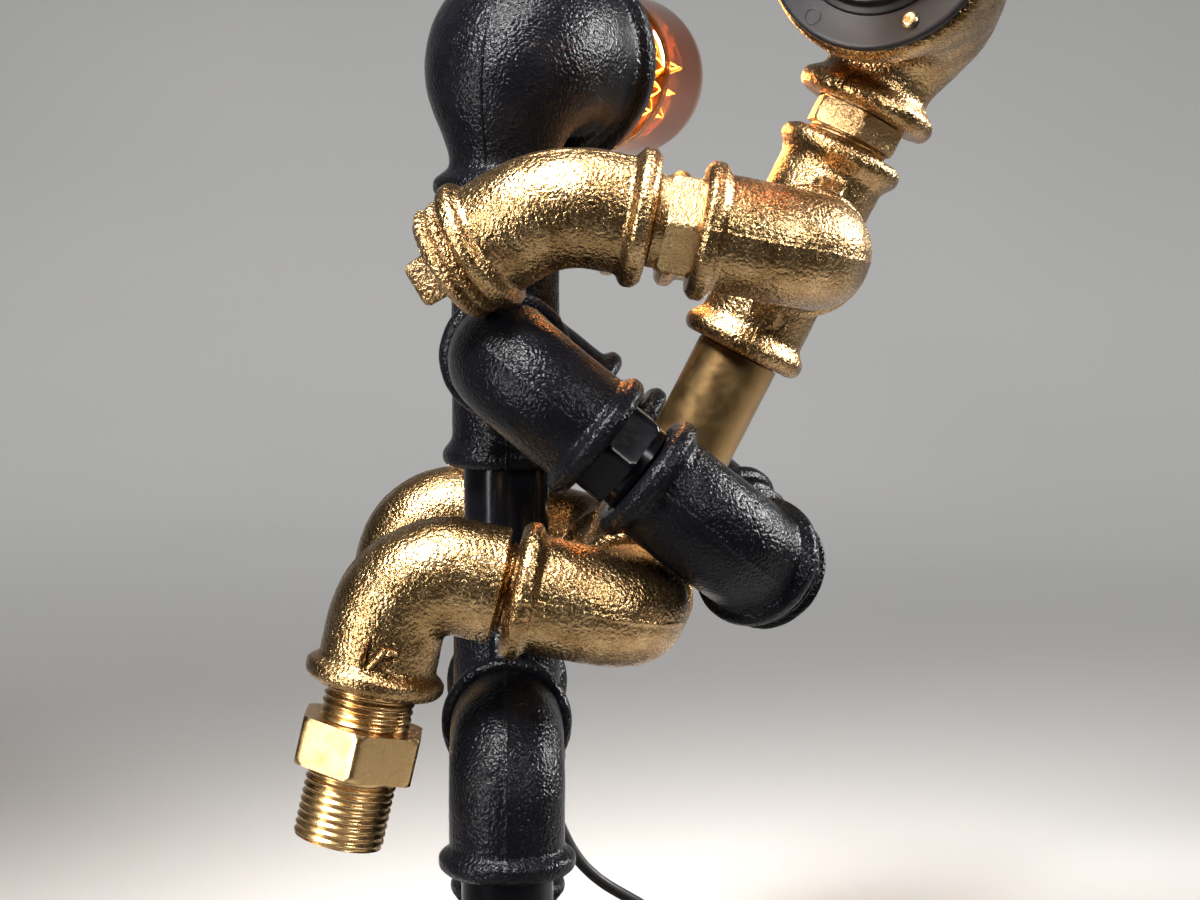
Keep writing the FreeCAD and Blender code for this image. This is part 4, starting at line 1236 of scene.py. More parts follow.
@dataclass
class Head:
    """Head of a figure: reducing elbow, lamp holder and bulb.

    Attributes:
        shop: the workshop.
        figure: name of the figure.
        centre: centre of the elbow.
        up: way from the neck upwards.
        gaze: way out of the mouth.
        cast: relief of the casting.
        paint: finish of the elbow.
        wire: finish of the filament, hot or cold.
    """

    shop: Workshop
    figure: str
    centre: Array
    up: Array
    gaze: Array
    cast: Casting
    paint: Finish
    wire: Finish = COLD_WIRE
    mouth_face: float = 36.0
    neck: float = 35.5
    holder: HolderSizes = field(default_factory=HolderSizes)
    lamp: BulbSizes = field(default_factory=BulbSizes)

    @property
    def mouth(self) -> Place:
        """Frame at the mouth's face, local Z out of it."""
        return Place(self.centre + self.gaze * self.mouth_face, self.gaze, self.up)

    def build(self) -> None:
        """Make every piece of the head."""
        self.elbow()
        self.lamp_holder()
        self.bulb()

    def elbow(self) -> None:
        """Casting of the head with its parting line."""
        node = self.figure + "_head_elbow"
        skin = self.cast.roughened(self.shop.fused(node, cell=0.85, rounds=5))
        place = Place(self.centre, -self.up, self.gaze)

        def outside(point: Array) -> bool:
            """Whether a local point of the section lies on the casting's outside."""
            x, z = point[0], point[2]
            in_mouth = x > -1.0 and abs(z) < 22.0
            in_neck = z > 0.0 and abs(x) < 13.0
            return not (in_mouth or in_neck) and x < self.mouth_face - 0.5 and z < self.neck - 0.5

        ridges = parting_ridge(self.shop, node, place, outside)
        self.shop.add(self.figure + "_head_casting", gathered([skin] + ridges), self.paint, [node])

    def lamp_holder(self) -> None:
        """Flange with stepped rings, collar, barrel, shell and screws."""
        sizes = self.holder
        front = sizes.flange + sizes.collar
        profile = [(-sizes.barrel, 3.0), (-sizes.barrel, sizes.barrel_r - 0.8),
                   (-sizes.barrel + 0.8, sizes.barrel_r),
                   (-0.05, sizes.barrel_r), (0.0, sizes.flange_r - 1.6), (0.25, sizes.flange_r - 0.7),
                   (0.9, sizes.flange_r - 0.12), (1.5, sizes.flange_r), (2.1, sizes.flange_r - 0.12),
                   (2.5, sizes.flange_r - 0.6), (2.6, sizes.flange_r - 1.4), (2.6, 20.4), (2.75, 19.9),
                   (3.6, 19.7), (3.8, 19.4), (3.85, 18.4), (4.1, 18.05), (front - 0.8, 17.9),
                   (front - 0.2, 17.6),
                   (front, 17.0), (front, 15.3), (front - 0.25, 14.9), (front - 0.5, 14.6),
                   (front - 0.5, 14.25), (front - 0.9, sizes.shell_r), (sizes.floor, sizes.shell_r),
                   (sizes.floor, 3.0)]
        table = np.array(profile)
        body = spun(self.mouth, table[:, 0], table[:, 1], ring=True, columns=160)
        marks = []
        for angle in (2.91, -0.23):
            spot = self.mouth.lay(polar(24.3, angle, sizes.flange))
            ring = Place(spot, self.gaze, self.up).lay(polar(1.9, around(40), 0.0))
            marks.append(carried(ring, 0.16, columns=8, closed=True))
        self.shop.add(self.figure + "_holder", gathered([body] + marks), MOULDING,
                      [self.figure + "_holder_body"])
        self.shop.dress(BRASS, self.figure + "_holder_contacts")
        screws = []
        table = ((-0.2, 2.1, 0.0), (0.35, 2.1, 0.0), (0.8, 1.95, 0.0), (1.1, 1.6, 0.0), (1.2, 1.25, 0.0),
                 (1.2, 1.2, 0.75), (0.5, 1.15, 0.75), (0.5, 0.2, 0.0))
        heights = np.array([z for z, _, _ in table])
        slot = np.exp(-((np.sin(2 * around(48))) / 0.28) ** 4)
        radii = np.array([r - cut * (1 - slot) for _, r, cut in table])
        for turn in (math.pi / 2, -math.pi / 2, 0.83, 0.83 + math.pi):
            place = Place(self.mouth.lay(polar(sizes.screw_pitch_r, turn, sizes.flange)), self.gaze, self.up)
            screws.append(spun(place, heights, radii))
        self.shop.add(self.figure + "_flange_screws", gathered(screws), ZINC,
                      [self.figure + "_holder_screws"], crease=30.0)

    def bulb(self) -> None:
        """Glass envelope, screw cap, stem, supports and filament."""
        body = self.figure + "_bulb"
        lamp = self.lamp
        full, neck_r, low, shoulder, tip = lamp.full_r, lamp.neck_r, lamp.low, lamp.shoulder, lamp.tip

        def outline(offset: float) -> Array:
            """Rows of height and radius from the neck to the tip, moved inwards by the offset."""
            z = np.linspace(low + offset, shoulder, 26)
            r = neck_r + (full - neck_r) * ramp(11.0, 31.0, z) - offset
            dome = np.linspace(0.0, math.pi / 2, 26)[1:-1]
            centre = tip - full
            sides = np.linspace(shoulder, centre, 10)[1:]
            z = np.concatenate([z, sides, centre + (full - offset) * np.sin(dome)])
            r = np.concatenate([r, np.full(len(sides), full - offset), (full - offset) * np.cos(dome)])
            return np.stack([z, r], -1)

        outer, inner = outline(0.0), outline(lamp.wall)
        table = np.concatenate([[[tip, 0.3]], outer[::-1], [[low, neck_r - 0.5]], [[low, 11.6]], inner,
                                [[tip - lamp.wall, 0.3]]])
        glass = spun(self.mouth, table[:, 0], table[:, 1], columns=128)
        piece = self.shop.add(self.figure + "_bulb_envelope", glass, AMBER, [self.figure + "_bulb_glass"])
        piece.visible_shadow = False
        cap_rows = [(-14.9, 1.5), (-14.9, 4.2), (-14.2, 5.0), (-12.6, 8.2), (-11.9, 9.2)]
        cap_rows += [(z, 12.35 + 0.75 * math.sin(z / 3.6 * TURN)) for z in np.arange(-10.5, 5.6, 0.3)]
        cap_rows += [(5.9, 12.9), (6.4, 13.1), (7.6, 13.1), (8.0, 12.9)]
        table = np.array(cap_rows)
        self.shop.add(self.figure + "_bulb_screw_cap", spun(self.mouth, table[:, 0], table[:, 1], columns=96),
                      BRASS, [self.figure + "_bulb_cap"])
        stem_rows = np.array([(9.2, 10.4), (12.0, 9.0), (16.0, 5.2), (20.0, 3.6), (28.0, 3.2), (34.0, 3.4),
                              (36.0, 2.4), (38.0, 1.5), (52.0, 1.3), (68.0, 1.3), (70.0, 2.0), (71.5, 2.3),
                              (73.0, 1.8), (73.6, 0.6)])
        heights = np.linspace(9.2, 73.6, 80)
        stem = spun(self.mouth, heights, np.interp(heights, stem_rows[:, 0], stem_rows[:, 1]), columns=32)
        self.shop.add(self.figure + "_bulb_stem", stem, STEM_GLASS, [self.figure + "_bulb_filament"])
        wires, hooks = self.cage()
        self.shop.add(self.figure + "_bulb_strands", gathered(wires), self.wire, body=body)
        # in a lit bulb the supports get a painted glow for the filament's light on them
        support = SUPPORT_PAINTED_GLOW if self.wire is HOT_WIRE else SUPPORT
        self.shop.add(self.figure + "_bulb_hooks", gathered(hooks), support, body=body)

    def cage(self, strands: int = 11) -> tuple[list[Shell], list[Shell]]:
        """Zigzag filament round the stem and the hooks that hold it.

        Returns:
            The hot wire and the cold supports.
        """
        lamp = self.lamp
        angles = np.arange(2 * strands + 1) / (2 * strands) * TURN * 0.97
        wobble = 0.6 * np.sin(angles * 5.3)
        at_low = np.arange(len(angles)) % 2 == 0
        radius = np.where(at_low, lamp.cage_low_r, lamp.cage_high_r) + wobble
        height = np.where(at_low, lamp.cage_low, lamp.cage_high) + wobble
        corners = polar(radius, angles, height)
        share = np.linspace(0, 1, 14)[:-1, None]
        path = np.concatenate([a + (b - a) * share for a, b in zip(corners[:-1], corners[1:])])
        sag = 0.5 * np.sin(np.arange(len(path)) / 13 * math.pi) ** 2
        path[:, :2] *= (1 + sag / 9)[:, None]
        wire = carried(self.mouth.lay(path), lamp.wire_r, columns=6)
        hooks = []
        for corner in corners:
            upper = corner[2] > (lamp.cage_low + lamp.cage_high) / 2
            base = Z_AXIS * (lamp.high_ring if upper else lamp.low_ring)
            bow = np.linspace(0, 1, 15)[:, None]
            spoke = base + (corner * 1.02 - base) * bow
            spoke[:, 2] += (7.0 if upper else 0.8) * np.sin(bow[:, 0] * math.pi) ** 0.6
            spoke[:, 2] += (0.5 if upper else 0.0) * np.sin(bow[:, 0] * 19.0 + corner[0])
            hooks.append(carried(self.mouth.lay(spoke), lamp.hook_r, columns=6))
        return [wire], hooks


# ---------------------------------------------------------------- figures


class Pattern(Enum):
    """Seed step of each kind of casting, so that no two have the same relief."""

    CROSS = 0
    TEE = 1
    HEAD = 5
    UPPER_ARM = 10
    FOREARM = 14
    HAND_PLUG = 20
    HEEL_PLUG = 24
    THIGH = 30
    LOWEST = 34


@dataclass
class Figure:
    """One pipe figure.

    Attributes:
        shop: the workshop.
        name: first word of its nodes' names.
        shoulder: centre of the shoulder cross.
        up: way of the spine.
        torso: bare length of the torso pipe.
        limb_engagement: how far the elbows are screwed into cross and tee.
        arm_way: direction of both upper arms.
        gaze: way that the head faces.
        cast: relief of its castings.
        paint: finish of its castings.
        pipe_paint: finish of the torso pipe.
        nipple_paint: finish of the hexagon nipples.
        plug_paint: finish of the plugs.
        wire: finish of the bulb's filament, hot or cold.
    """

    shop: Workshop
    name: str
    shoulder: Array
    up: Array
    torso: float
    limb_engagement: float
    arm_way: Array
    gaze: Array
    cast: Casting
    paint: Finish
    pipe_paint: Finish
    nipple_paint: Finish
    plug_paint: Finish
    wire: Finish = COLD_WIRE

    @property
    def offset(self) -> float:
        """Distance of arms and legs from the spine."""
        return FIT.face - self.limb_engagement + FIT.male_reach

    @property
    def hip(self) -> Array:
        """Centre of the hip tee."""
        return self.shoulder - self.up * (2 * FIT.face + self.torso)

    @property
    def head(self) -> Head:
        """The figure's head."""
        centre = self.shoulder + self.up * (FIT.face + FIT.neck_gap + FIT.turning + Head.neck)
        return Head(self.shop, self.name, centre, self.up, self.gaze, self.seeded(Pattern.HEAD),
                    self.paint, self.wire)

    def hand_side(self, out: Array) -> Array:
        """Way that a hand turns to, square to the upper arm."""
        raise NotImplementedError

    def seeded(self, pattern: Pattern, side: Side | None = None) -> Casting:
        """The figure's relief in the pattern of one casting."""
        step = pattern.value + (side.value if side else 0)
        return replace(self.cast, seed=self.cast.seed + 7 * step)

    def casting(self, part: str, shell: Shell) -> None:
        """Write a casting in the figure's paint, in place of its node."""
        node = f"{self.name}_{part}"
        self.shop.add(node + "_casting", shell, self.paint, [node])

    def trunk(self) -> None:
        """Shoulder cross, hip tee, torso pipe, neck nipple and head."""

        def outside(p: Array) -> bool:
            """Whether a local point of the section is beyond the bores and short of the faces."""
            near, far = sorted((abs(p[0]), abs(p[2])))
            return near > 11.6 and far < FIT.face - 0.4

        for part, centre, pattern in (("shoulder_cross", self.shoulder, Pattern.CROSS),
                                      ("hip_tee", self.hip, Pattern.TEE)):
            node = f"{self.name}_{part}"
            skin = self.seeded(pattern).roughened(self.shop.fused(node, cell=0.72, rounds=6))
            ridges = parting_ridge(self.shop, node, Place(centre, self.up, Y_AXIS), outside)
            self.casting(part, gathered([skin] + ridges))
        pipe = pipe_nipple(Place(self.hip + self.up * FIT.face, self.up, Y_AXIS), self.torso)
        self.shop.add(self.name + "_torso_pipe", pipe, self.pipe_paint, [self.name + "_torso_nipple"])
        neck = neck_nipple(Place(self.shoulder + self.up * FIT.face, self.up, Y_AXIS))
        self.shop.add(self.name + "_neck_hexagon", neck, self.nipple_paint, [self.name + "_neck_nipple"])
        self.head.build()

    def arms(self) -> None:
        """Upper arms, hexagon nipples, forearms and hand plugs."""
        hexagons, plugs = [], []
        for side in Side:
            base = self.shoulder + side.out * self.offset
            way = self.arm_way
            upper = street_elbow(Place(base, -side.out, way), self.seeded(Pattern.UPPER_ARM, side))
            self.casting(f"upper_arm_{side.label}", upper)
            hexagons.append(short_nipple(Place(base + way * FIT.face, way, Y_AXIS)))
            wrist = base + way * (FIT.face + FIT.nipple_gap + FIT.face_45)
            across = self.hand_side(side.out)
            fore = half_elbow(Place(wrist, -way, across), self.seeded(Pattern.FOREARM, side))
            self.casting(f"forearm_{side.label}", fore)
            hand = (way + across) * math.sqrt(0.5)
            toward = Y_AXIS if abs(hand[1]) < 0.5 else Z_AXIS
            end = Place(wrist + hand * FIT.face_45, hand, toward)
            plugs.append(SquarePlug(end, self.seeded(Pattern.HAND_PLUG, side)).shell())
        self.shop.add(self.name + "_arm_hexagons", gathered(hexagons), self.nipple_paint,
                      [self.name + "_arm_nipples"])
        self.hand_plugs(plugs)

    def hand_plugs(self, plugs: list[Shell]) -> None:
        """Write the hand plugs, by themselves or with others of the same node."""
        raise NotImplementedError


class DarkFigure(Figure):
    """The black figure, which stands on its feet."""

    leg = 31.0
    foot_axis = 18.0
    bare_torso = 31.0
    screwed_in = 13.5
    arm_drop = 39.0
    head_yaw = 20.0

    def hand_side(self, out: Array) -> Array:
        """Hands turn inwards."""
        return -out

    def hand_plugs(self, plugs: list[Shell]) -> None:
        """Hand plugs and heel plugs are one node."""
        for side in Side:
            foot = np.array([0.0, side.value * self.offset, self.foot_axis])
            heel = Place(foot - X_AXIS * FIT.face, -X_AXIS, Z_AXIS)
            plugs.append(SquarePlug(heel, self.seeded(Pattern.HEEL_PLUG, side)).shell())
        self.shop.add("dark_square_plugs", gathered(plugs), self.plug_paint, ["dark_plugs"])

    def legs(self) -> None:
        """Thighs, leg pipes, foot tees, toe nipples, toe caps and pads."""
        pipes, hexagons, caps = [], [], []
        for side in Side:
            place = Place(self.hip + side.out * self.offset, -side.out, -Z_AXIS)
            self.casting(f"thigh_{side.label}", street_elbow(place, self.seeded(Pattern.THIGH, side)))
            foot = np.array([0.0, side.value * self.offset, self.foot_axis])
            pipes.append(pipe_nipple(Place(foot + Z_AXIS * FIT.face, Z_AXIS, Y_AXIS), self.leg))
            tee = f"foot_tee_{side.label}"
            skin = self.shop.fused("dark_" + tee, cell=0.8, rounds=6)
            self.casting(tee, self.seeded(Pattern.LOWEST, side).roughened(skin))
            toe = foot + X_AXIS * FIT.face
            hexagons.append(short_nipple(Place(toe, X_AXIS, Z_AXIS)))
            rows = np.array([(0.0, 10.9), (0.0, 14.4), (0.6, 15.4), (1.6, 16.0), (5.0, 16.0), (6.2, 15.4),
                             (7.4, 15.2), (14.0, 15.1), (16.4, 14.0), (18.0, 11.8), (18.8, 8.0), (19.0, 4.0),
                             (19.0, 0.5)])
            caps.append(spun(Place(toe + X_AXIS * FIT.nipple_gap, X_AXIS, Z_AXIS), rows[:, 0], rows[:, 1]))
        self.shop.add("dark_leg_pipes", gathered(pipes), self.pipe_paint, ["dark_leg_nipples"])
        self.shop.add("dark_toe_hexagons", gathered(hexagons), self.nipple_paint, ["dark_toe_nipples"])
        self.shop.add("dark_toe_caps_turned", gathered(caps), self.paint, ["dark_toe_caps"])
        self.shop.dress(RUBBER, "foot_pads")


class LightFigure(Figure):
    """The gold figure, which hangs on the black one."""

    lean = 27.0
    bare_torso = 35.0
    screwed_in = 10.0
    shoulder_x = 71.6
    shoulder_rise = 25.0
    head_yaw = 60.0
    twist = math.radians(20.0)
    thigh_rise = 13.0
    arm_rise = 11.0
    foot_thread = 17.0
    foot_engagement = 8.5
    foot_hex = 11.0
    foot_hex_across = 27.0
    foot_ring = 1.2
    mark_drop = 20.0
    mark_stroke_r = 0.72
    mark_lift = 0.42

    def hand_side(self, out: Array) -> Array:
        """Hands hang down and turn a little inwards."""
        drop = leaning(270.0 - self.arm_rise) * math.cos(self.twist)
        return drop - out * math.sin(self.twist)

    def hand_plugs(self, plugs: list[Shell]) -> None:
        """Hand plugs are a node of their own."""
        self.shop.add("light_square_plugs", gathered(plugs), self.plug_paint, ["light_hand_plugs"])

    def legs(self) -> None:
        """Thighs, shins and the long nipples that end them."""
        thigh, shin = leaning(180.0 - self.thigh_rise), leaning(270.0 - self.thigh_rise)
        reach = FIT.face - FIT.engagement + FIT.male_reach
        for side in Side:
            base = self.hip + side.out * self.offset
            knee = base + thigh * reach
            upper = street_elbow(Place(base, -side.out, thigh), self.seeded(Pattern.THIGH, side))
            self.casting(f"thigh_{side.label}", upper)
            lower = street_elbow(Place(knee, -thigh, shin), self.seeded(Pattern.LOWEST, side))
            if side is Side.FRONT:
                lower = gathered([lower] + self.size_mark(knee, shin))
            self.casting(f"shin_{side.label}", lower)
            node = f"light_foot_nipple_{side.label}"
            hex_start = self.foot_thread - self.foot_engagement
            hex_end = hex_start + self.foot_hex
            nipple = Nipple(Place(knee + shin * FIT.face, shin, Y_AXIS), -self.foot_engagement,
                            hex_end + self.foot_thread, hex_start, hex_end, hex_end + self.foot_ring,
                            across=self.foot_hex_across)
            # the thread finish is paler than the cast gold: painted light on the thread crests
            self.shop.add(node + "_threaded", nipple.shell(), GOLD_THREAD_PAINTED_LIGHT, [node])

    def size_mark(self, knee: Array, shin: Array) -> list[Shell]:
        """The pipe size one half, cast in raised strokes on the shin's side.

        A stroke's points lie in a plane of right and up; right becomes an angle round the shin.

        Args:
            knee: centre of the shin's bend.
            shin: way down the shin.

        Returns:
            One raised stroke for each part of the mark.
        """
        right = np.cross(Y_AXIS, shin)
        right = right if right[0] > 0 else -right
        bow = np.linspace(math.pi * 0.95, -0.35 * math.pi, 16)
        two = [(3.0 + 1.15 * math.cos(a), 1.05 + 1.05 * math.sin(a)) for a in bow]
        strokes = [[(-3.9, 1.3), (-3.2, 2.2), (-3.2, 0.0), (-3.2, -2.2)],
                   [(-1.6, -2.6), (0.0, 0.0), (1.2, 2.6)],
                   two + [(2.0, -2.1), (3.0, -2.1), (4.2, -2.1)]]
        marks = []
        for stroke in strokes:
            flat = resampled(np.array([(u, v, 0.0) for u, v in stroke]), 0.22)
            angle = flat[:, :1] / FIT.body_r
            reach = FIT.body_r + self.mark_lift
            path = (knee + shin * (self.mark_drop - flat[:, 1:2])
                    + reach * (-Y_AXIS * np.cos(angle) + right * np.sin(angle)))
            marks.append(carried(path, self.mark_stroke_r, columns=8))
        return marks


# ---------------------------------------------------------------- mains lead


@dataclass
class MainsLead:
    """Cord from the rear leg through the switch to the coil and the plug.

    Attributes:
        shop: the workshop.
        leg_axis: Y of the rear leg's axis.
    """

    shop: Workshop
    leg_axis: float
    cord_r: float = 1.8
    gland_height: float = 23.0
    gland_yaw: float = 70.0
    gland_length: float = 17.0
    gland_depth: float = 10.3
    gland_step: float = 0.4
    relief_length: float = 27.0
    rib_count: float = 13.0
    rib_height: float = 0.24
    switch_x: float = 71.0
    switch_y: float = 122.0
    switch_reach: float = 36.0
    coil_x: float = -17.0
    coil_y: float = 116.0
    coil_in: float = 14.0
    coil_out: float = 29.9
    coil_top: float = 5.5
    tie_angle: float = -0.9
    plug_end: tuple[float, float, float] = (-57.0, 131.0, 7.0)
    plug_heading: float = 200.0

    @property
    def exit(self) -> Place:
        """Frame of the gland: local Z is the way out of the leg."""
        way = heading(math.radians(self.gland_yaw))
        leg_start = DarkFigure.foot_axis + FIT.face
        return Place(np.array([0.0, self.leg_axis, leg_start + self.gland_height]), way, Z_AXIS)

    def coil_points(self) -> list[tuple[float, float, float]]:
        """Two layers of turns: in along the table, a step up, and out on top."""
        pitch = 3.62
        enter, leave = 60.0, 110.0
        spiral = (self.coil_out - self.coil_in) / pitch
        rise = 0.35
        total = 2 * spiral + rise
        total = round(total - (leave - enter) / 360.0) + (leave - enter) / 360.0
        spiral = (total - rise) / 2
        points = []
        count = int(total * 16)
        for i in range(count + 1):
            t = total * i / count
            angle = math.radians(enter + 360.0 * t)
            depth = spiral - min(max(spiral - t, 0.0) + max(t - spiral - rise, 0.0), spiral)
            radius = self.coil_in + pitch * (spiral - depth)
            step = float(ramp(0.0, 1.0, np.array((t - spiral) / rise)))
            z = self.cord_r + (self.coil_top - self.cord_r) * step
            points.append((self.coil_x + radius * math.cos(angle),
                           self.coil_y + radius * math.sin(angle), z))
        return points

    def route(self) -> list[tuple[float, float, float]]:
        """Points of the cord from the gland's tip to the plug."""
        start = self.exit.origin + self.exit.along * self.gland_length
        lead = start + self.exit.along * 6
        lie = self.cord_r
        plug_way = heading(math.radians(self.plug_heading))
        end = np.array(self.plug_end)
        y, reach = self.switch_y, self.switch_reach
        return [tuple(start), tuple(lead), (9.8, 81, 68), (11.6, 85.6, 63.3), (13.6, 89.3, 55.8),
                (16.8, 92.4, 47), (21.2, 95, 39), (27.8, 97.5, 32.2), (36.5, 100, 26.5), (47.5, 101.5, 19.5),
                (60, 102, 10.5), (74, 100, 3.4), (90, 94, lie), (108, 88, lie), (124, 87, lie),
                (136, 96, lie), (138, 110, 2.4), (129, 120, 5), (117, y, 7), (self.switch_x + reach, y, 7),
                (self.switch_x, y, 7), (self.switch_x - reach, y, 7), (28, y, 7), (21.5, 124.3, 5.9),
                (12.5, 131.2, 3.3),
                *self.coil_points(), tuple(end - plug_way * 14), tuple(end)]

    def build(self) -> None:
        """Make the cord and dress what it carries."""
        data = bpy.data.curves.new("mains_lead", "CURVE")
        data.dimensions = "3D"
        points = [tuple(self.shop.row(np.array(p, float))) for p in self.route()]
        spline = data.splines.new("NURBS")
        spline.points.add(len(points) - 1)
        for control, point in zip(spline.points, points):
            control.co = (*point, 1.0)
        spline.order_u = 3
        spline.use_endpoint_u = True
        spline.resolution_u = 6
        data.bevel_depth = self.cord_r * MM
        data.bevel_resolution = 4
        data.use_fill_caps = True
        data.materials.append(SHEATH.material)
        cord = in_scene("mains_lead", data)
        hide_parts("mains_cord", "cord_coil")
        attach(cord, "frame")
        tie = self.tie()
        self.shop.dress(MOULDING, "switch_body", "switch_rocker", "mains_plug_body")
        self.shop.dress(BRASS, "switch_contacts", "mains_plug_pins")
        self.shop.dress(SHEATH, "dark_head_lead", "light_head_lead", "dark_body_lead", "light_body_lead")
        self.gland(cord)
        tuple(points[0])

    def tie(self) -> bpy.types.Object:
        """Rubber tie round the coil's turns."""
        middle = (self.coil_in + self.coil_out) / 2
        angles = around(64)
        half_width = (self.coil_out - self.coil_in) / 2 + self.cord_r + 0.6
        height = self.coil_top + self.cord_r
        across = np.sign(np.cos(angles)) * np.abs(np.cos(angles)) ** 0.35 * half_width
        rise = height / 2 + np.sign(np.sin(angles)) * np.abs(np.sin(angles)) ** 0.35 * (height / 2 + 0.1)
        centre = np.array([self.coil_x, self.coil_y, 0.0])
        way = heading(self.tie_angle)
        path = centre + (middle + across)[:, None] * way + np.maximum(rise, 0.5)[:, None] * Z_AXIS
        normals = np.repeat(np.cross(way, Z_AXIS)[None, :], len(path), axis=0)
        return self.shop.add("coil_tie", carried(path, 1.6, normals, 12, closed=True, flat=0.3), RUBBER,
                             body="frame")

    def spine(self, cord: bpy.types.Object) -> Array:
        """Points of the cord's own spline, in the layout frame."""
        plain = cord.copy()
        plain.data = cord.data.copy()
        plain.data.bevel_depth = 0.0
        plain.data.resolution_u = 12
        mesh = bpy.data.meshes.new_from_object(plain)
        flat = np.empty(len(mesh.vertices) * 3)
        mesh.vertices.foreach_get("co", flat)
        bpy.data.meshes.remove(mesh)
        curve = plain.data
        bpy.data.objects.remove(plain)
        bpy.data.curves.remove(curve)
        return self.shop.layout(flat.reshape(-1, 3))

    def gland(self, cord: bpy.types.Object) -> None:
        """Rubber gland: a flange on the leg and a ribbed sleeve that tapers along the cord."""
        path = self.spine(cord)
        gone = np.concatenate([[0.0], np.cumsum(np.linalg.norm(np.diff(path, axis=0), axis=1))])
        inner = self.gland_length - self.gland_depth
        spots = np.arange(0.0, self.relief_length - inner, self.gland_step)
        along = np.stack([np.interp(spots, gone, path[:, k]) for k in range(3)], -1)
        back = np.arange(-inner, 0.0, self.gland_step)[:, None]
        path = np.concatenate([self.exit.origin + (self.gland_length + back) * self.exit.along, along])
        share = np.linspace(0.0, 1.0, len(path))
        flange = np.where(share < 0.085, 5.2, np.where(share < 0.1, 4.9, 0.0))
        ribs = np.where(np.sin(share * self.rib_count * TURN) > 0.0, self.rib_height, -self.rib_height)
        ribs = ribs * (share < 0.93)
        radii = np.maximum(flange, 4.1 - 1.75 * share + ribs)
        sleeve = carried(path, radii, columns=40)
        self.shop.add("cord_gland_ribbed", sleeve, RUBBER, ["cord_gland"])


# ---------------------------------------------------------------- studio


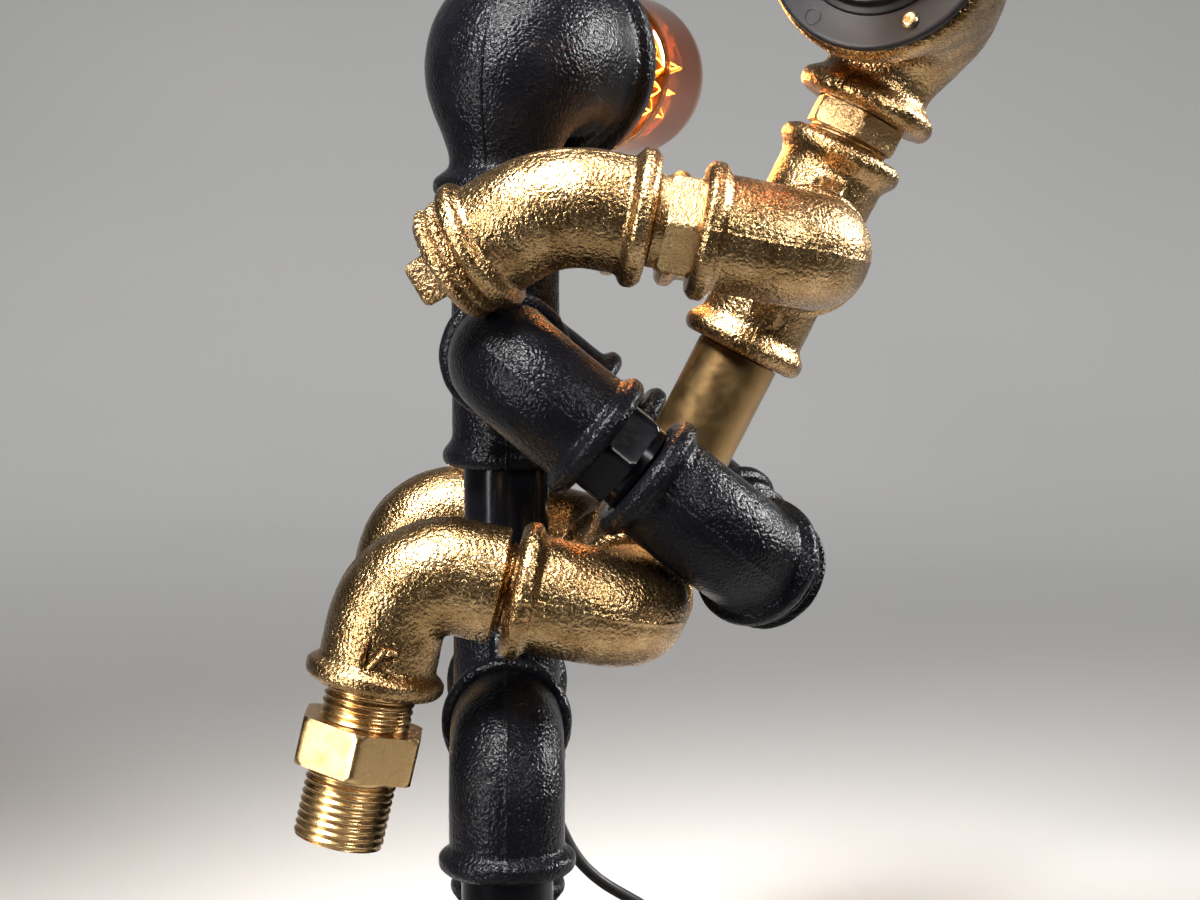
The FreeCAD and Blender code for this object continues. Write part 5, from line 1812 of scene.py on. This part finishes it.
@dataclass(frozen=True)
class Studio:
    """Camera, floor and soft lights.

    Attributes:
        shop: the workshop.
        eye: where the camera is, in the layout frame.
        focal: focal length in millimetres, over a sensor 36 mm wide.
        pitch, yaw: how far the camera looks down and to the right, in degrees.
        narrow, wide: spread of the soft boxes and of the floor's light, in degrees.
        glow_height: height of a bulb's light over its mouth.
    """

    shop: Workshop
    eye: tuple[float, float, float] = (0.86, -603.28, 229.05)
    focal: float = 72.33
    pitch: float = 5.51
    yaw: float = 2.16
    narrow: float = 34.0
    wide: float = 80.0
    glow_height: float = 50.0

    def build(self) -> None:
        """Set the scene up."""
        self.camera()
        self.floor()
        self.lights()

    def camera(self) -> None:
        """Camera at the height of the shoulders, looking a little down."""
        data = bpy.data.cameras.new("view")
        data.lens = self.focal
        data.sensor_width = 36.0
        data.clip_end = 20.0
        camera = in_scene("view", data)
        camera.location = self.shop.row(np.array(self.eye))
        camera.rotation_euler = (math.radians(90.0 - self.pitch), 0.0, -math.radians(self.yaw))
        bpy.context.scene.camera = camera

    def floor(self) -> None:
        """Pale floor that sweeps up behind: a profile of a flat, a quarter round and a wall."""
        near, flat_end, sweep, wall, top, half_width = -3.0, 1.2, 0.9, 2.1, 3.5, 4.0
        bend = np.linspace(0, math.pi / 2, 24)
        depth = np.concatenate([[near], flat_end + sweep * np.sin(bend), [wall]])
        height = np.concatenate([[0.0], sweep - sweep * np.cos(bend), [top]])
        across = np.linspace(-half_width, half_width, 9)
        grid = np.stack(np.broadcast_arrays(across[None, :], depth[:, None], height[:, None]), -1)
        rows, columns = grid.shape[:2]
        row, column = np.arange(rows - 1)[:, None], np.arange(columns - 1)[None, :]
        start = row * columns + column
        faces = np.stack([start, start + 1, start + columns + 1, start + columns], -1).reshape(-1, 4)
        mesh = bpy.data.meshes.new("studio_floor")
        mesh.from_pydata(grid.reshape(-1, 3).tolist(), [], faces.tolist())
        mesh.polygons.foreach_set("use_smooth", np.ones(len(mesh.polygons), bool))
        wires = Wires("studio_paper")
        drift = wires.noise(2.0, 2.0)
        wires.link(wires.colours(drift, ((0.3, (0.33, 0.328, 0.323)), (0.7, (0.355, 0.352, 0.348)))),
                   wires.shader.inputs["Base Color"])
        wires.set(Roughness=0.8)
        mesh.materials.append(wires.material)
        floor = in_scene("studio_floor", mesh)
        floor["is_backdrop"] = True

    def lights(self) -> None:
        """Narrow soft boxes that draw the castings' bright bands, and a wide one for the floor.

        Each has its place, what it is turned to, its width and height, and its power.
        """
        for name, spot, target, size, power in (
                ("key", (-0.40, -0.50, 1.12), (0.0, 0.0, 0.20), (0.30, 0.30), 2.0),
                ("left", (-0.74, -0.62, 0.30), (0.0, 0.0, 0.20), (0.10, 0.6), 0.55),
                ("right", (0.85, 0.24, 0.52), (0.0, 0.0, 0.20), (0.16, 0.6), 1.4),
                ("fill", (0.60, -0.75, 0.62), (0.0, 0.0, 0.20), (0.18, 0.3), 0.3),
                ("top", (0.0, -0.1, 1.1), (0.0, 0.0, 0.15), (0.26, 0.2), 0.5),
                ("floor", (0.0, 0.5, 2.7), (0.0, 1.6, 0.1), (3.0, 1.6), 29.0)):
            data = bpy.data.lights.new(name, "AREA")
            data.shape = "RECTANGLE"
            data.size, data.size_y = size
            data.energy = power
            data.spread = math.radians(self.wide if name == "floor" else self.narrow)
            light = in_scene(name, data)
            light.location = spot
            way = np.array(target) - np.array(spot)
            level = math.hypot(way[0], way[1])
            light.rotation_euler = (math.atan2(level, -way[2]), 0.0, math.atan2(way[1], way[0]) - math.pi / 2)
        world = bpy.data.worlds.new("studio")
        bpy.context.scene.world = world
        world.use_nodes = True
        background = world.node_tree.nodes["Background"]
        background.inputs["Color"].default_value = (0.60, 0.62, 0.66, 1.0)
        background.inputs["Strength"].default_value = 0.012

    def bulb_light(self, name: str, place: Place, power: float) -> None:
        """Warm light inside a bulb."""
        data = bpy.data.lights.new(name, "POINT")
        data.color = (1.0, 0.42, 0.12)
        data.energy = power
        data.shadow_soft_size = 0.008
        light = in_scene(name, data)
        light.location = self.shop.row(place.lay(Z_AXIS * self.glow_height))


def corners() -> list[list[float]]:
    """Lowest and highest corner of the whole object."""
    low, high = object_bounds()
    return [list(low), list(high)]


def main() -> None:
    """Build the lamp and its studio, class by class."""
    logging.basicConfig(level=logging.INFO, format="%(message)s")
    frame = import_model()
    shop = Workshop(frame)
    hip_height = DarkFigure.foot_axis + 2 * FIT.face + DarkFigure.leg
    shoulder = Z_AXIS * (hip_height + 2 * FIT.face + DarkFigure.bare_torso)
    yaw = math.radians(DarkFigure.head_yaw)
    gaze = np.array([math.sin(yaw), math.cos(yaw), 0.0])
    dark = DarkFigure(shop, "dark", shoulder, Z_AXIS, DarkFigure.bare_torso, DarkFigure.screwed_in,
                      leaning(-DarkFigure.arm_drop), gaze, DARK_CAST, ENAMEL, ENAMEL_PIPE, ENAMEL_PIPE,
                      ENAMEL, HOT_WIRE)
    lean, yaw = LightFigure.lean, math.radians(LightFigure.head_yaw)
    gaze = leaning(180.0 - lean) * math.cos(yaw) - Y_AXIS * math.sin(yaw)
    light_shoulder = np.array([LightFigure.shoulder_x, 0.0, shoulder[2] + LightFigure.shoulder_rise])
    # the hexagon nipples' finish is paler than the cast gold: painted light on their faces
    light = LightFigure(shop, "light", light_shoulder, leaning(90.0 - lean), LightFigure.bare_torso,
                        LightFigure.screwed_in, leaning(180.0 - LightFigure.arm_rise), gaze, LIGHT_CAST, GOLD,
                        GOLD_PIPE, GOLD_FORGED_PAINTED_LIGHT, GOLD_ROUGH)
    for figure in (dark, light):
        figure.trunk()
        figure.arms()
        figure.legs()
        LOG.info("%s figure done", figure.name)
    MainsLead(shop, dark.offset).build()
    studio = Studio(shop)
    studio.build()
    studio.bulb_light("dark_glow", dark.head.mouth, power=0.5)
    bpy.context.scene.view_settings.view_transform = "Standard"


if __name__ == "__main__":
    main()
